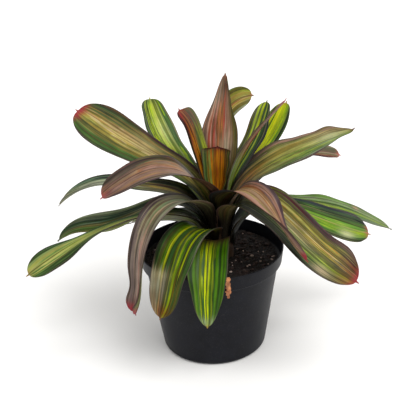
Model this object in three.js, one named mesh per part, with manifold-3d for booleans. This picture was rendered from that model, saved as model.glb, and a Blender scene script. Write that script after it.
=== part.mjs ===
// Potted bromeliad: a rosette of strap leaves on a short stem, standing in
// potting mix in a thin-walled round nursery pot.
// Millimetres, +Z up.  Origin: centre of the pot's flat underside.
// The front of the plant faces -Y and its right-hand side is +X.

import * as THREE from 'three';
import { mergeVertices } from 'three/addons/utils/BufferGeometryUtils.js';
import Module from 'manifold-3d';

const CLEARANCE = 0.3;            // between pieces that touch

// ---------------------------------------------------------------- pot
const POT_HEIGHT = 122;
const POT_BASE_RADIUS = 60;
const POT_CORNER = 5;             // rounding where the wall meets the base
const POT_RIM_RADIUS = 82.5;      // outside of the rim band
const RIM_BAND_HEIGHT = 17;
const RIM_BAND_STEP = 4;          // how far the band stands out from the wall
const RIM_TAPER = 2;              // the band leans out by this much over its height
const BAND_EDGE = 1;              // slope of the band's lower edge
const LIP_RADIUS = 0.7;           // rounding of the rim's top edge
const POT_WALL = 1.4;
const POT_FLOOR = 2;
const POT_SIDES = 48;
const POT_COLOR = 0x1d1f24;
const DRAIN_COUNT = 6;
const DRAIN_RADIUS = 5;
const DRAIN_CIRCLE = 42;          // radius of the circle that the drain holes stand on
const DRAIN_SIDES = 16;

// ---------------------------------------------------------------- rosette
const PLANT_X = 8;                // the plant stands a little right of the pot's centre
const LEAF_THICKNESS = 0.8;
const RING_RADIUS = 3;            // sheath radius of the innermost leaf
const RING_STEP = 1.4;            // each leaf ring out adds this to the sheath radius
const ROOT_TOP = 158;             // height of the innermost leaf's root
const ROOT_DROP = 3.4;            // each leaf ring out is rooted this much lower
const OUTER_RING = 11;
const SHEATH_ARC = 70;            // degrees of stem that a sheath clasps
const SPINE_STEPS = 120;
const ALONG = [
  0, 0.07, 0.14, 0.21, 0.28, 0.35, 0.42, 0.49, 0.56, 0.63, 0.7, 0.77, 0.83, 0.88, 0.92, 0.955, 0.985, 1,
];
const ACROSS = 6;
const POINT_START = 0.985;        // where the blade ends and its hard point begins
const POINT_HALF_WIDTH = 1.2;
const POINT_END_SHARE = 0.5;      // half width at the very tip, as a share of that
const LEAST_BEND = 1.5;           // smallest radius of the cross-section's arc
const LEAF_ROUGHNESS = 0.42;

// ---------------------------------------------------------------- soil and stem
const SOIL_LEVEL = 110;
const SOIL_BUMP = 1.5;            // height of the lumps in its surface
const SOIL_SIDES = POT_SIDES;
const SOIL_RINGS = 6;
const STEM_GAP = 0.4;             // from the stem to the inside of a sheath at its root
const STEM_FOOT = 72;             // height of the stem's lower end, deep in the mix
const STEM_FOOT_RADIUS = 11;
const STEM_FOOT_EDGE = 2;         // height of the foot's blunt edge
const STEM_WIDE_FROM = 96;        // height from which the stem has its full width
const STEM_TIP = 1;               // height of the blunt point on top
const STEM_SIDES = 36;

// ---------------------------------------------------------------- withered scrap over the rim
const SCRAP_AZIMUTH = 281;
const SCRAP_WIDTH = 5;
const SCRAP_THICKNESS = 0.8;
const SCRAP_DROP = 24;            // how far it hangs below the rim
const SCRAP_INSIDE = 8;           // how far it reaches down inside the rim
const SCRAP_STEPS = 14;

// Leaves from the heart of the rosette outwards.  Each list gives values at
// 0, 20, 40, 60, 80 and 100% of the leaf's length, in degrees:
//   pitch  slope above the horizontal      sway  turn away from the leaf's azimuth
//   cup    arc of the cross-section        roll  twist, positive lifts the left margin
// and spread gives the width there, as a share of the leaf's full width.
// Shares of the length: tightTo, up to where the sheath hugs the stem; openAt,
// where it has opened into the blade; taper, where its end starts to narrow.
// sheathArc is the arc of stem that the sheath clasps, in degrees, and a larger
// point rounds the end more.
const LEAVES = [
  {
    name: 'leaf_heart', ring: 0, azimuth: 74, length: 80, width: 36, color: 0x7a4a20,
    pitch: [90, 86, 84, 82, 80, 74], cup: [150, 140, 136, 130, 110, 100],
    spread: [0.5, 0.75, 0.88, 0.95, 1, 1.06],
    sheathArc: 150, tightTo: 0.15, openAt: 0.6, taper: 0.92, point: 3.5,
  },
  {
    name: 'leaf_inner_left', ring: 1, azimuth: 142, length: 132, width: 27, color: 0x6e4a35,
    pitch: [90, 78, 75, 70, 66, 28], cup: [120, 100, 60, 50, 60, 70],
    sway: [0, 0, 0, 0, 4, 12], roll: [0, 0, -10, -15, -10, 0],
    spread: [0.55, 0.75, 0.8, 0.78, 0.95, 1.22],
    openAt: 0.42, taper: 0.91,
  },
  {
    name: 'leaf_inner_back', ring: 2, azimuth: 74, length: 166, width: 44, color: 0x8a6a68,
    pitch: [90, 79, 70, 71, 63, 74], cup: [100, 80, 60, 70, 120, 180],
    spread: [0.6, 0.8, 0.96, 1, 0.8, 0.7],
    openAt: 0.42, taper: 0.5, point: 1.5,
  },
  {
    name: 'leaf_back_curled', ring: 3, azimuth: 86, length: 168, width: 26, color: 0x8f9a3c,
    pitch: [90, 77, 68, 61, 42, -8], cup: [90, 70, 50, 40, 40, 60],
    sway: [0, 0, 0, -15, -60, -85], roll: [0, 0, 0, 15, 50, 75],
    sheathArc: 36, openAt: 0.42, taper: 0.85,
  },
  {
    name: 'leaf_inner_right', ring: 4, azimuth: 15, length: 164, width: 31, color: 0x7c7660,
    pitch: [90, 77, 66, 56, 45, 42], cup: [100, 80, 60, 50, 50, 70],
    roll: [0, -12, -28, -32, -28, -20],
    spread: [0.5, 1, 1.05, 1, 0.9, 0.85],
    sheathArc: 60, openAt: 0.42,
  },
  {
    name: 'leaf_arching_left', ring: 2, azimuth: 230, length: 189, width: 40, color: 0x86706a,
    pitch: [90, 60, 43, 14, -22, -30], cup: [110, 90, 60, 45, 50, 70],
    sway: [0, -2, -6, -20, -30, -36], roll: [0, -8, -12, -12, -14, -8],
    spread: [0.75, 1.08, 1.3, 1.15, 1, 1],
    taper: 0.84,
  },
  {
    name: 'leaf_arching_right', ring: 3, azimuth: 300, length: 188, width: 44, color: 0x80604e,
    pitch: [90, 54, 18, -28, -49, -44], cup: [110, 90, 60, 60, 70, 90],
    sway: [0, 2, 4, 8, 22, 38], roll: [0, 0, 0, -8, -42, -50],
    spread: [0.75, 1.1, 1, 0.88, 0.7, 0.62],
    sheathArc: 56,
  },
  {
    name: 'leaf_back_right_short', ring: 5, azimuth: 54, length: 165, width: 26, color: 0x6f8a2a,
    pitch: [90, 72, 46, 37, 45, 38], cup: [90, 70, 50, 40, 40, 60],
    sway: [0, -10, -12, -4, 8, 8],
    spread: [0.55, 0.8, 1, 1, 1, 1],
    sheathArc: 60, openAt: 0.42, taper: 0.75,
  },
  {
    name: 'leaf_upper_left', ring: 3, azimuth: 150, length: 226, width: 50, color: 0x7f7b3c,
    pitch: [90, 48, 17, 20, 25, 27], cup: [90, 70, 50, 40, 40, 60],
    roll: [0, -8, -22, -28, -32, -32],
    spread: [0.5, 0.6, 0.72, 0.98, 1.04, 0.98],
    taper: 0.82,
  },
  {
    name: 'leaf_upper_right', ring: 6, azimuth: 13, length: 202, width: 48, color: 0x6f7a3e,
    pitch: [90, 62, 30, 20, 14, 12], cup: [100, 80, 60, 55, 70, 120],
    roll: [0, -4, 2, 20, 30, 28],
    spread: [0.6, 1.05, 1.2, 1.02, 0.72, 0.62],
    taper: 0.5, point: 1.5,
  },
  {
    name: 'leaf_back_right', ring: 7, azimuth: 49, length: 184, width: 34, color: 0x86a62c,
    pitch: [90, 60, 34, 26, 42, 48], cup: [90, 70, 50, 40, 40, 60],
    taper: 0.78,
  },
  {
    name: 'leaf_right_narrow', ring: 8, azimuth: 27, length: 198, width: 24, color: 0x7a6a50,
    pitch: [90, 54, 30, 12, -8, -28], cup: [90, 70, 50, 40, 40, 60],
    roll: [0, 0, 0, 0, 30, 50],
    spread: [0.6, 0.7, 0.6, 0.5, 0.7, 1.1],
    taper: 0.8, point: 2,
  },
  {
    name: 'leaf_left_folded', ring: 6, azimuth: 172, length: 210, width: 38, color: 0x4c5a38,
    pitch: [90, 42, 8, 6, -22, -46], cup: [90, 70, 50, 55, 100, 110],
    spread: [0.8, 1.1, 1.1, 1, 0.95, 0.85],
    openAt: 0.22, taper: 0.5,
  },
  {
    name: 'leaf_hanging_left', ring: 5, azimuth: 229, length: 231, width: 30, color: 0x6e6a60,
    pitch: [90, 40, 6, -52, -84, -66], cup: [100, 80, 60, 90, 140, 150],
    sway: [0, 0, 0, 0, -3, -20],
    spread: [0.9, 1.2, 1.2, 1, 0.86, 1.1],
    openAt: 0.22, taper: 0.9,
  },
  {
    name: 'leaf_back_left', ring: 5, azimuth: 127, length: 186, width: 37, color: 0x7f9a3c,
    pitch: [90, 46, 38, 37, 40, 36], cup: [90, 70, 50, 40, 40, 60],
    sway: [0, 2, 2, 0, -12, -26],
    spread: [0.55, 0.7, 0.86, 1.02, 0.96, 0.6],
    sheathArc: 60, taper: 0.9, point: 3,
  },
  {
    name: 'leaf_right', ring: 9, azimuth: 358, length: 188, width: 43, color: 0x4f7a3a,
    pitch: [90, 38, -8, -24, -22, -12], cup: [80, 60, 40, 35, 35, 60],
    roll: [0, 0, 0, 14, 28, 30],
    spread: [0.7, 0.95, 1, 1.04, 1.02, 0.95],
    openAt: 0.24, taper: 0.8,
  },
  {
    name: 'leaf_front_right', ring: 7, azimuth: 318, length: 216, width: 57, color: 0x7a7a38,
    pitch: [90, 54, -16, -36, -31, -24], cup: [80, 60, 40, 35, 35, 60],
    sway: [0, 1, 4, 7, 10, 12], roll: [0, 2, 2, 4, 12, 16],
    spread: [0.7, 1, 1.17, 1.12, 1, 0.85],
    sheathArc: 60, openAt: 0.24, taper: 0.8,
  },
  {
    name: 'leaf_front_left', ring: 9, azimuth: 241, length: 168, width: 46, color: 0x4f6a24,
    pitch: [90, 32, -2, -42, -66, -60], cup: [80, 60, 45, 38, 35, 60],
    sway: [0, 0, 0, 0, -4, -16],
    spread: [0.8, 1, 1, 1, 0.9, 0.75],
    sheathArc: 66, openAt: 0.22, taper: 0.8,
  },
  {
    name: 'leaf_left_twisted', ring: 7, azimuth: 178, length: 206, width: 27, color: 0x44603a,
    pitch: [90, 36, -22, -22, -4, -50], cup: [80, 60, 50, 60, 60, 80],
    roll: [0, 0, -4, -14, -24, -20],
    spread: [0.8, 1, 1.15, 1.3, 1.2, 1],
  },
  {
    name: 'leaf_right_low', ring: 11, azimuth: 18, length: 246, width: 42, color: 0x5a8a42,
    pitch: [90, 24, -13, -20, -30, -29], cup: [80, 60, 40, 35, 35, 60],
    sway: [0, 0, 0, -1, -2, -2], roll: [0, 0, 8, 14, 10, 0],
    spread: [0.45, 0.42, 0.55, 0.92, 1.05, 1.15],
    sheathArc: 54, openAt: 0.24, taper: 0.8, point: 2,
  },
  {
    name: 'leaf_left_low', ring: 8, azimuth: 202, length: 234, width: 31, color: 0x6a8440,
    pitch: [90, 24, 1, -13, -24, -28], cup: [80, 60, 60, 60, 40, 60],
    roll: [0, 0, 14, 0, -40, -45],
    spread: [0.7, 0.95, 0.7, 0.5, 0.92, 1.05],
    openAt: 0.24, taper: 0.82,
  },
  {
    name: 'leaf_front', ring: 11, azimuth: 259, length: 140, width: 41, color: 0x5f8a1e,
    pitch: [90, 28, -25, -50, -70, -80], cup: [80, 65, 55, 45, 40, 60],
    sway: [0, 0, 2, 5, 6, 6],
    spread: [0.75, 1, 1.1, 1.05, 0.95, 0.75],
    openAt: 0.26, taper: 0.6, point: 1.7,
  },
  {
    name: 'leaf_back_low', ring: 9, azimuth: 92, length: 185, width: 42, color: 0x4f6f34,
    pitch: [90, 40, 4, -14, -28, -40], cup: [80, 60, 40, 35, 35, 60],
    spread: [0.7, 0.8, 0.95, 1, 1, 1],
    taper: 0.75,
  },
  {
    name: 'leaf_back_left_low', ring: 10, azimuth: 150, length: 122, width: 44, color: 0x4f6f34,
    pitch: [90, 28, -4, -12, -22, -34], cup: [80, 60, 40, 35, 35, 60],
    spread: [0.7, 0.8, 0.95, 1, 1, 1],
    taper: 0.75,
  },
];
const LEAF_DEFAULTS = {
  sway: [0, 0, 0, 0, 0, 0],
  roll: [0, 0, 0, 0, 0, 0],
  sheathArc: SHEATH_ARC,
  tightTo: 0.04,
  openAt: 0.28,
  spread: [0.55, 0.67, 0.9, 1, 1, 1],
  taper: 0.62,
  point: 2.6,
};

const group = new THREE.Group();

const wasm = await Module();
wasm.setup();

// ---------------------------------------------------------------- helpers
const radians = (degrees) => THREE.MathUtils.degToRad(degrees);
const clamp01 = (x) => Math.min(Math.max(x, 0), 1);

function smooth(x) {
  const t = clamp01(x);
  return t * t * (3 - 2 * t);
}

// Value at share u of an evenly spaced list, along a Catmull-Rom curve.
function along(list, u) {
  const last = list.length - 1;
  const x = clamp01(u) * last;
  const i = Math.min(Math.floor(x), last - 1);
  const t = x - i;
  const before = i > 0 ? list[i - 1] : 2 * list[0] - list[1];
  const after = i + 2 <= last ? list[i + 2] : 2 * list[last] - list[last - 1];
  const a = list[i];
  const b = list[i + 1];
  return 0.5 * (2 * a + (b - before) * t
    + (2 * before - 5 * a + 4 * b - after) * t * t
    + (3 * a - before - 3 * b + after) * t * t * t);
}

function addMesh(name, geometry, color, roughness) {
  geometry.computeVertexNormals();
  const mesh = new THREE.Mesh(geometry, new THREE.MeshStandardMaterial({ color, roughness, metalness: 0 }));
  mesh.name = name;
  group.add(mesh);
}

function meshGeometry(positions, triangles) {
  const geometry = new THREE.BufferGeometry();
  geometry.setAttribute('position', new THREE.Float32BufferAttribute(positions, 3));
  geometry.setIndex(triangles);
  return geometry;
}

function positionOnly(geometry) {
  geometry.deleteAttribute('normal');
  geometry.deleteAttribute('uv');
  return mergeVertices(geometry, 1e-4);
}

// Turns a profile of [radius, height] points about the Z axis.
function revolve(profile, sides) {
  const points = profile.map(([radius, height]) => new THREE.Vector2(radius, height));
  const geometry = new THREE.LatheGeometry(points, sides);
  geometry.rotateX(Math.PI / 2);
  return positionOnly(geometry);
}

function solid(geometry) {
  const shape = {
    numProp: 3,
    vertProperties: new Float32Array(geometry.attributes.position.array),
    triVerts: new Uint32Array(geometry.index.array),
  };
  return new wasm.Manifold(new wasm.Mesh(shape));
}

function solidGeometry(body) {
  const mesh = body.getMesh();
  return meshGeometry(Array.from(mesh.vertProperties), Array.from(mesh.triVerts));
}

// ---------------------------------------------------------------- leaves
const sheathRadius = (ring) => RING_RADIUS + RING_STEP * ring;
const rootHeight = (ring) => ROOT_TOP - ROOT_DROP * ring;

// Unit vectors along the leaf, to its left and out of its upper face.
function leafFrame(leaf, u) {
  const pitch = radians(along(leaf.pitch, u));
  const heading = radians(leaf.azimuth + along(leaf.sway, u));
  const roll = radians(along(leaf.roll, u));
  const forward = new THREE.Vector3(
    Math.cos(pitch) * Math.cos(heading), Math.cos(pitch) * Math.sin(heading), Math.sin(pitch));
  const left = new THREE.Vector3(-Math.sin(heading), Math.cos(heading), 0);
  const up = forward.clone().cross(left);
  return {
    forward,
    left: left.clone().multiplyScalar(Math.cos(roll)).addScaledVector(up, Math.sin(roll)),
    up: up.clone().multiplyScalar(Math.cos(roll)).addScaledVector(left, -Math.sin(roll)),
  };
}

// The midline: it leaves the stem upright at its root and follows the pitch.
function leafSpine(leaf) {
  const azimuth = radians(leaf.azimuth);
  const radius = sheathRadius(leaf.ring);
  const point = new THREE.Vector3(
    PLANT_X + radius * Math.cos(azimuth), radius * Math.sin(azimuth), rootHeight(leaf.ring));
  const points = [point.clone()];
  for (let step = 0; step < SPINE_STEPS; step++) {
    const { forward } = leafFrame(leaf, (step + 0.5) / SPINE_STEPS);
    point.addScaledVector(forward, leaf.length / SPINE_STEPS);
    points.push(point.clone());
  }
  return points;
}

function spinePoint(spine, u) {
  const x = u * SPINE_STEPS;
  const i = Math.min(Math.floor(x), SPINE_STEPS - 1);
  return spine[i].clone().lerp(spine[i + 1], x - i);
}

function bladeHalfWidth(leaf, u) {
  const end = clamp01((u - leaf.taper) / (POINT_START - leaf.taper));
  const rounded = Math.sqrt(Math.max(1 - end ** leaf.point, 0));
  const past = clamp01((u - POINT_START) / (1 - POINT_START));
  const point = POINT_HALF_WIDTH * (1 - (1 - POINT_END_SHARE) * past);
  return Math.max((leaf.width / 2) * along(leaf.spread, u) * rounded, point);
}

// Half width and arc angle of the cross-section: a sheath round the stem that
// opens into the blade.
function leafSection(leaf, u) {
  const radius = sheathRadius(leaf.ring);
  const sheathArc = radians(leaf.sheathArc);
  const open = smooth((u - leaf.tightTo) / (leaf.openAt - leaf.tightTo));
  const halfWidth = THREE.MathUtils.lerp(sheathArc * radius / 2, bladeHalfWidth(leaf, u), open);
  const arc = THREE.MathUtils.lerp(sheathArc, radians(along(leaf.cup, u)), open);
  return { halfWidth, arc: Math.min(arc, halfWidth / LEAST_BEND) };
}

// Point of the leaf at share u of its length and v from -1 at the right margin
// to 1 at the left, lifted off the middle surface.
function leafPoint(leaf, spine, u, v, lift) {
  const { left, up } = leafFrame(leaf, u);
  const { halfWidth, arc } = leafSection(leaf, u);
  const bend = 2 * halfWidth / arc;
  const angle = v * arc / 2;
  return spinePoint(spine, u)
    .addScaledVector(left, (bend - lift) * Math.sin(angle))
    .addScaledVector(up, bend - (bend - lift) * Math.cos(angle));
}

function leafGeometry(leaf) {
  const spine = leafSpine(leaf);
  const positions = [];
  for (const lift of [LEAF_THICKNESS / 2, -LEAF_THICKNESS / 2]) {
    for (const u of ALONG) {
      for (let j = 0; j <= ACROSS; j++) {
        positions.push(...leafPoint(leaf, spine, u, 2 * j / ACROSS - 1, lift).toArray());
      }
    }
  }
  const rows = ALONG.length;
  const columns = ACROSS + 1;
  const upper = (i, j) => i * columns + j;
  const lower = (i, j) => rows * columns + upper(i, j);
  const triangles = [];
  const quad = (a, b, c, d) => triangles.push(a, b, c, a, c, d);
  for (let i = 0; i < rows - 1; i++) {
    for (let j = 0; j < columns - 1; j++) {
      triangles.push(upper(i, j), upper(i + 1, j), upper(i + 1, j + 1));
      triangles.push(upper(i, j), upper(i + 1, j + 1), upper(i, j + 1));
      triangles.push(lower(i, j), lower(i + 1, j + 1), lower(i + 1, j));
      triangles.push(lower(i, j), lower(i, j + 1), lower(i + 1, j + 1));
    }
    quad(upper(i, 0), lower(i, 0), lower(i + 1, 0), upper(i + 1, 0));
    quad(upper(i, ACROSS), upper(i + 1, ACROSS), lower(i + 1, ACROSS), lower(i, ACROSS));
  }
  for (let j = 0; j < columns - 1; j++) {
    quad(upper(0, j), upper(0, j + 1), lower(0, j + 1), lower(0, j));
    quad(upper(rows - 1, j), lower(rows - 1, j), lower(rows - 1, j + 1), upper(rows - 1, j + 1));
  }
  return meshGeometry(positions, triangles);
}

// ---------------------------------------------------------------- pot
const bandBottom = POT_HEIGHT - RIM_BAND_HEIGHT;
const bandRadius = POT_RIM_RADIUS - RIM_TAPER;
const wallTopRadius = bandRadius - RIM_BAND_STEP;

// Outer radius of the tapered wall below the rim band.
function wallRadius(height) {
  return POT_BASE_RADIUS + (wallTopRadius - POT_BASE_RADIUS) * height / bandBottom;
}

const floorRadius = wallRadius(POT_FLOOR) - POT_WALL - 1;  // inside, at the foot of the wall

function potGeometry() {
  const corner = [0, 30, 60, 90].map((degrees) => {
    const angle = radians(degrees);
    const middle = wallRadius(POT_CORNER) - POT_CORNER;
    return [middle + POT_CORNER * Math.sin(angle), POT_CORNER * (1 - Math.cos(angle))];
  });
  const lip = [0, 60, 120, 180].map((degrees) => {
    const angle = radians(degrees);
    const middle = POT_RIM_RADIUS - LIP_RADIUS;
    return [middle + LIP_RADIUS * Math.cos(angle), POT_HEIGHT + LIP_RADIUS * (Math.sin(angle) - 1)];
  });
  const shell = revolve([
    [0, 0],
    ...corner,
    [wallTopRadius, bandBottom],
    [bandRadius, bandBottom + BAND_EDGE],
    ...lip,
    [bandRadius - POT_WALL, bandBottom + BAND_EDGE + POT_WALL],
    [wallTopRadius - POT_WALL, bandBottom + POT_WALL],
    [floorRadius, POT_FLOOR],
    [0, POT_FLOOR],
  ], POT_SIDES);
  let body = solid(shell);
  for (let i = 0; i < DRAIN_COUNT; i++) {
    const angle = (i + 0.5) * 2 * Math.PI / DRAIN_COUNT;
    const drill = new THREE.CylinderGeometry(DRAIN_RADIUS, DRAIN_RADIUS, 4 * POT_FLOOR, DRAIN_SIDES);
    drill.rotateX(Math.PI / 2);
    drill.translate(DRAIN_CIRCLE * Math.cos(angle), DRAIN_CIRCLE * Math.sin(angle), 0);
    body = body.subtract(solid(positionOnly(drill)));
  }
  return solidGeometry(body);
}

// Inside radius of the pot's wall, as far up as the mix reaches.
function insideRadius(height) {
  const topHeight = bandBottom + POT_WALL;
  const share = (Math.min(height, topHeight) - POT_FLOOR) / (topHeight - POT_FLOOR);
  return floorRadius + (wallTopRadius - POT_WALL - floorRadius) * share;
}

// ---------------------------------------------------------------- stem and soil
// Radius of the stem that stands clear inside the sheaths rooted round it.
function stemRadius(height) {
  const ring = Math.min((ROOT_TOP - height) / ROOT_DROP, OUTER_RING);
  return sheathRadius(ring) - LEAF_THICKNESS / 2 - STEM_GAP;
}

const stemWidest = stemRadius(0);
const stemShoulder = rootHeight(OUTER_RING);

function stemGeometry() {
  const geometry = revolve([
    [0, STEM_FOOT],
    [STEM_FOOT_RADIUS, STEM_FOOT + STEM_FOOT_EDGE],
    [stemWidest, STEM_WIDE_FROM],
    [stemWidest, stemShoulder],
    [stemRadius(ROOT_TOP), ROOT_TOP],
    [0, ROOT_TOP + STEM_TIP],
  ], STEM_SIDES);
  geometry.translate(PLANT_X, 0, 0);
  return geometry;
}

function soilHeight(x, y) {
  const coarse = Math.sin(0.19 * x + 1.2) * Math.cos(0.23 * y - 0.6);
  const fine = Math.sin(0.47 * x - 0.31 * y) * Math.cos(0.41 * y + 0.2 * x);
  return SOIL_LEVEL + SOIL_BUMP * (0.6 * coarse + 0.4 * fine);
}

// The mix fills the pot up to a lumpy top, with a plain hole for the stem.
function soilGeometry() {
  const hole = stemWidest + CLEARANCE;
  const bottom = POT_FLOOR + CLEARANCE;
  const outer = insideRadius(SOIL_LEVEL) - CLEARANCE;
  const rings = [];
  const holeFloor = STEM_FOOT - CLEARANCE;
  rings.push({ radius: hole, centre: PLANT_X, height: () => holeFloor });
  for (let i = 0; i <= SOIL_RINGS; i++) {
    const share = i / SOIL_RINGS;
    rings.push({
      radius: THREE.MathUtils.lerp(hole, outer, share),
      centre: PLANT_X * (1 - share),
      height: soilHeight,
    });
  }
  const shoulder = bandBottom - 1;  // just under the step inside the rim band
  rings.push({ radius: insideRadius(shoulder) - CLEARANCE, centre: 0, height: () => shoulder });
  rings.push({ radius: insideRadius(bottom) - CLEARANCE, centre: 0, height: () => bottom });

  const positions = [PLANT_X, 0, holeFloor];
  for (const { radius, centre, height } of rings) {
    for (let k = 0; k < SOIL_SIDES; k++) {
      const angle = 2 * Math.PI * k / SOIL_SIDES;
      const x = centre + radius * Math.cos(angle);
      const y = radius * Math.sin(angle);
      positions.push(x, y, height(x, y));
    }
  }
  positions.push(0, 0, bottom);
  const lastPoint = positions.length / 3 - 1;
  const at = (ring, k) => 1 + ring * SOIL_SIDES + k % SOIL_SIDES;
  const triangles = [];
  for (let k = 0; k < SOIL_SIDES; k++) {
    triangles.push(0, at(0, k), at(0, k + 1));
    for (let ring = 0; ring < rings.length - 1; ring++) {
      triangles.push(at(ring, k), at(ring + 1, k), at(ring + 1, k + 1));
      triangles.push(at(ring, k), at(ring + 1, k + 1), at(ring, k + 1));
    }
    triangles.push(at(rings.length - 1, k), lastPoint, at(rings.length - 1, k + 1));
  }
  return meshGeometry(positions, triangles);
}

// ---------------------------------------------------------------- withered scrap
// A thin dry strip folded over the rim, close against the band outside.
function scrapGeometry() {
  const reach = SCRAP_THICKNESS / 2 + CLEARANCE;
  const innerEdge = POT_RIM_RADIUS - 2 * LIP_RADIUS;
  const top = POT_HEIGHT + reach;
  const curve = new THREE.CatmullRomCurve3([
    new THREE.Vector3(innerEdge - reach - 1.5, 0, top - SCRAP_INSIDE),
    new THREE.Vector3(innerEdge - reach - 0.5, 0, top - 2),
    new THREE.Vector3(POT_RIM_RADIUS - LIP_RADIUS, 0, top + 0.4),
    new THREE.Vector3(POT_RIM_RADIUS + reach + 0.4, 0, top - 2),
    new THREE.Vector3(POT_RIM_RADIUS + reach, 0, top - RIM_BAND_HEIGHT),
    new THREE.Vector3(POT_RIM_RADIUS + reach - 1.5, 0, top - SCRAP_DROP),
  ]);
  const positions = [];
  for (let i = 0; i <= SCRAP_STEPS; i++) {
    const share = i / SCRAP_STEPS;
    const point = curve.getPoint(share);
    const { x, z } = curve.getTangent(share);
    const half = (SCRAP_WIDTH / 2) * (1 - 0.5 * share ** 3);
    for (const [outward, sideways] of [[1, -1], [1, 1], [-1, 1], [-1, -1]]) {
      const offset = outward * SCRAP_THICKNESS / 2;
      positions.push(point.x - z * offset, sideways * half, point.z + x * offset);
    }
  }
  const triangles = [];
  const quad = (a, b, c, d) => triangles.push(a, b, c, a, c, d);
  for (let i = 0; i < SCRAP_STEPS; i++) {
    for (let k = 0; k < 4; k++) {
      const next = (k + 1) % 4;
      quad(4 * i + k, 4 * i + 4 + k, 4 * i + 4 + next, 4 * i + next);
    }
  }
  quad(0, 1, 2, 3);
  quad(4 * SCRAP_STEPS + 3, 4 * SCRAP_STEPS + 2, 4 * SCRAP_STEPS + 1, 4 * SCRAP_STEPS);
  const geometry = meshGeometry(positions, triangles);
  geometry.rotateZ(radians(SCRAP_AZIMUTH));
  return geometry;
}

addMesh('pot', potGeometry(), POT_COLOR, 0.5);
addMesh('soil', soilGeometry(), 0x2a1f18, 0.95);
addMesh('stem', stemGeometry(), 0x3a2a1c, 0.8);
addMesh('withered_scrap', scrapGeometry(), 0xb06a3c, 0.8);
for (const leaf of LEAVES) {
  addMesh(leaf.name, leafGeometry({ ...LEAF_DEFAULTS, ...leaf }), leaf.color, LEAF_ROUGHNESS);
}

export default group;
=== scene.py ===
"""Potted bromeliad: the looks of the plant, its potting mix and its nursery pot.

Leaves, pot, mix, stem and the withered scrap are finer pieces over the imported
solids.  They share their driving sizes, apart from the three that are marked as
finer here, and the lobes and hooks of the leaves are in this script alone.
Sizes are in millimetres and are turned into metres where a mesh is made.
"""

import math
import random

import bpy
import numpy as np
from mathutils import Matrix, Vector, noise


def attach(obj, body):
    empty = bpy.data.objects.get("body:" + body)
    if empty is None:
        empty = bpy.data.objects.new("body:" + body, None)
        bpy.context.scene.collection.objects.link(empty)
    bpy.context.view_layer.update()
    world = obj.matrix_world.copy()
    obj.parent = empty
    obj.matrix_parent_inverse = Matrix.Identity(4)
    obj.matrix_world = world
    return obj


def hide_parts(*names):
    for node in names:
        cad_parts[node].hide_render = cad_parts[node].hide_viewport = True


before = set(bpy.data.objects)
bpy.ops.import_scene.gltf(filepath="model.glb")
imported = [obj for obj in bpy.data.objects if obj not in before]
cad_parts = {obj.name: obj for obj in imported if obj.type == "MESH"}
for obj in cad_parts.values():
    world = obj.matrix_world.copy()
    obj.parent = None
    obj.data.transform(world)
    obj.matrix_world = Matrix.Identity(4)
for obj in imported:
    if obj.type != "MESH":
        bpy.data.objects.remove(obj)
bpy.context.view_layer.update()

MM = 0.001
BODY = "root"

# ------------------------------------------------------------------ camera
VIEW_TARGET = (-2, 0, 168.5)
VIEW_DISTANCE = 850
VIEW_TILT = 23.3          # degrees that the camera looks down
VIEW_ROLL = -2.3
FRAME_PIXELS = 416
FOCAL_PIXELS = 759        # focal length in pixels of that frame
SENSOR_WIDTH = 36


def add_camera():
    tilt = math.radians(VIEW_TILT)
    roll = math.radians(VIEW_ROLL)
    back = Vector((0, -math.cos(tilt), math.sin(tilt)))
    level = Vector((1, 0, 0))
    upright = back.cross(level)
    right = math.cos(roll) * level + math.sin(roll) * upright
    up = math.cos(roll) * upright - math.sin(roll) * level
    place = (Vector(VIEW_TARGET) + VIEW_DISTANCE * back) * MM
    data = bpy.data.cameras.new("camera")
    data.sensor_width = SENSOR_WIDTH
    data.lens = SENSOR_WIDTH * FOCAL_PIXELS / FRAME_PIXELS
    camera = bpy.data.objects.new("camera", data)
    camera.matrix_world = Matrix.Translation(place) @ Matrix((right, up, back)).transposed().to_4x4()
    bpy.context.scene.collection.objects.link(camera)
    bpy.context.scene.camera = camera


add_camera()

# ------------------------------------------------------------------ colours
PALETTE = {
    "black": "14100c", "ink": "20282a", "deep": "24331a", "forest": "344c28",
    "green": "48682c", "leaf": "608438", "teal": "46604c", "sage": "7f8a6c",
    "moss": "53572c", "olive": "76763c", "khaki": "989650", "lime": "8fa03c",
    "bright": "b0bc30", "yellow": "beb94c", "straw": "bcb07c", "cream": "cfc6a8",
    "gold": "a08a44", "amber": "ac7630", "orange": "9c6840", "rust": "824c36",
    "brown": "4a2e20", "tan": "a68a68", "beige": "b8a68c", "silver": "a0a492",
    "taupe": "706050", "purple": "5a4846", "plum": "442f34", "mauve": "906f62",
    "pink": "b48c7a", "rose": "9e4c46", "maroon": "4c1a1e", "crimson": "86202c",
}


def linear(code):
    """Linear RGBA of a name in the palette or of a hexadecimal sRGB colour."""
    code = PALETTE.get(code, code)
    channels = [int(code[i:i + 2], 16) / 255 for i in (0, 2, 4)]
    return [c / 12.92 if c <= 0.04045 else ((c + 0.055) / 1.055) ** 2.4 for c in channels] + [1]


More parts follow.
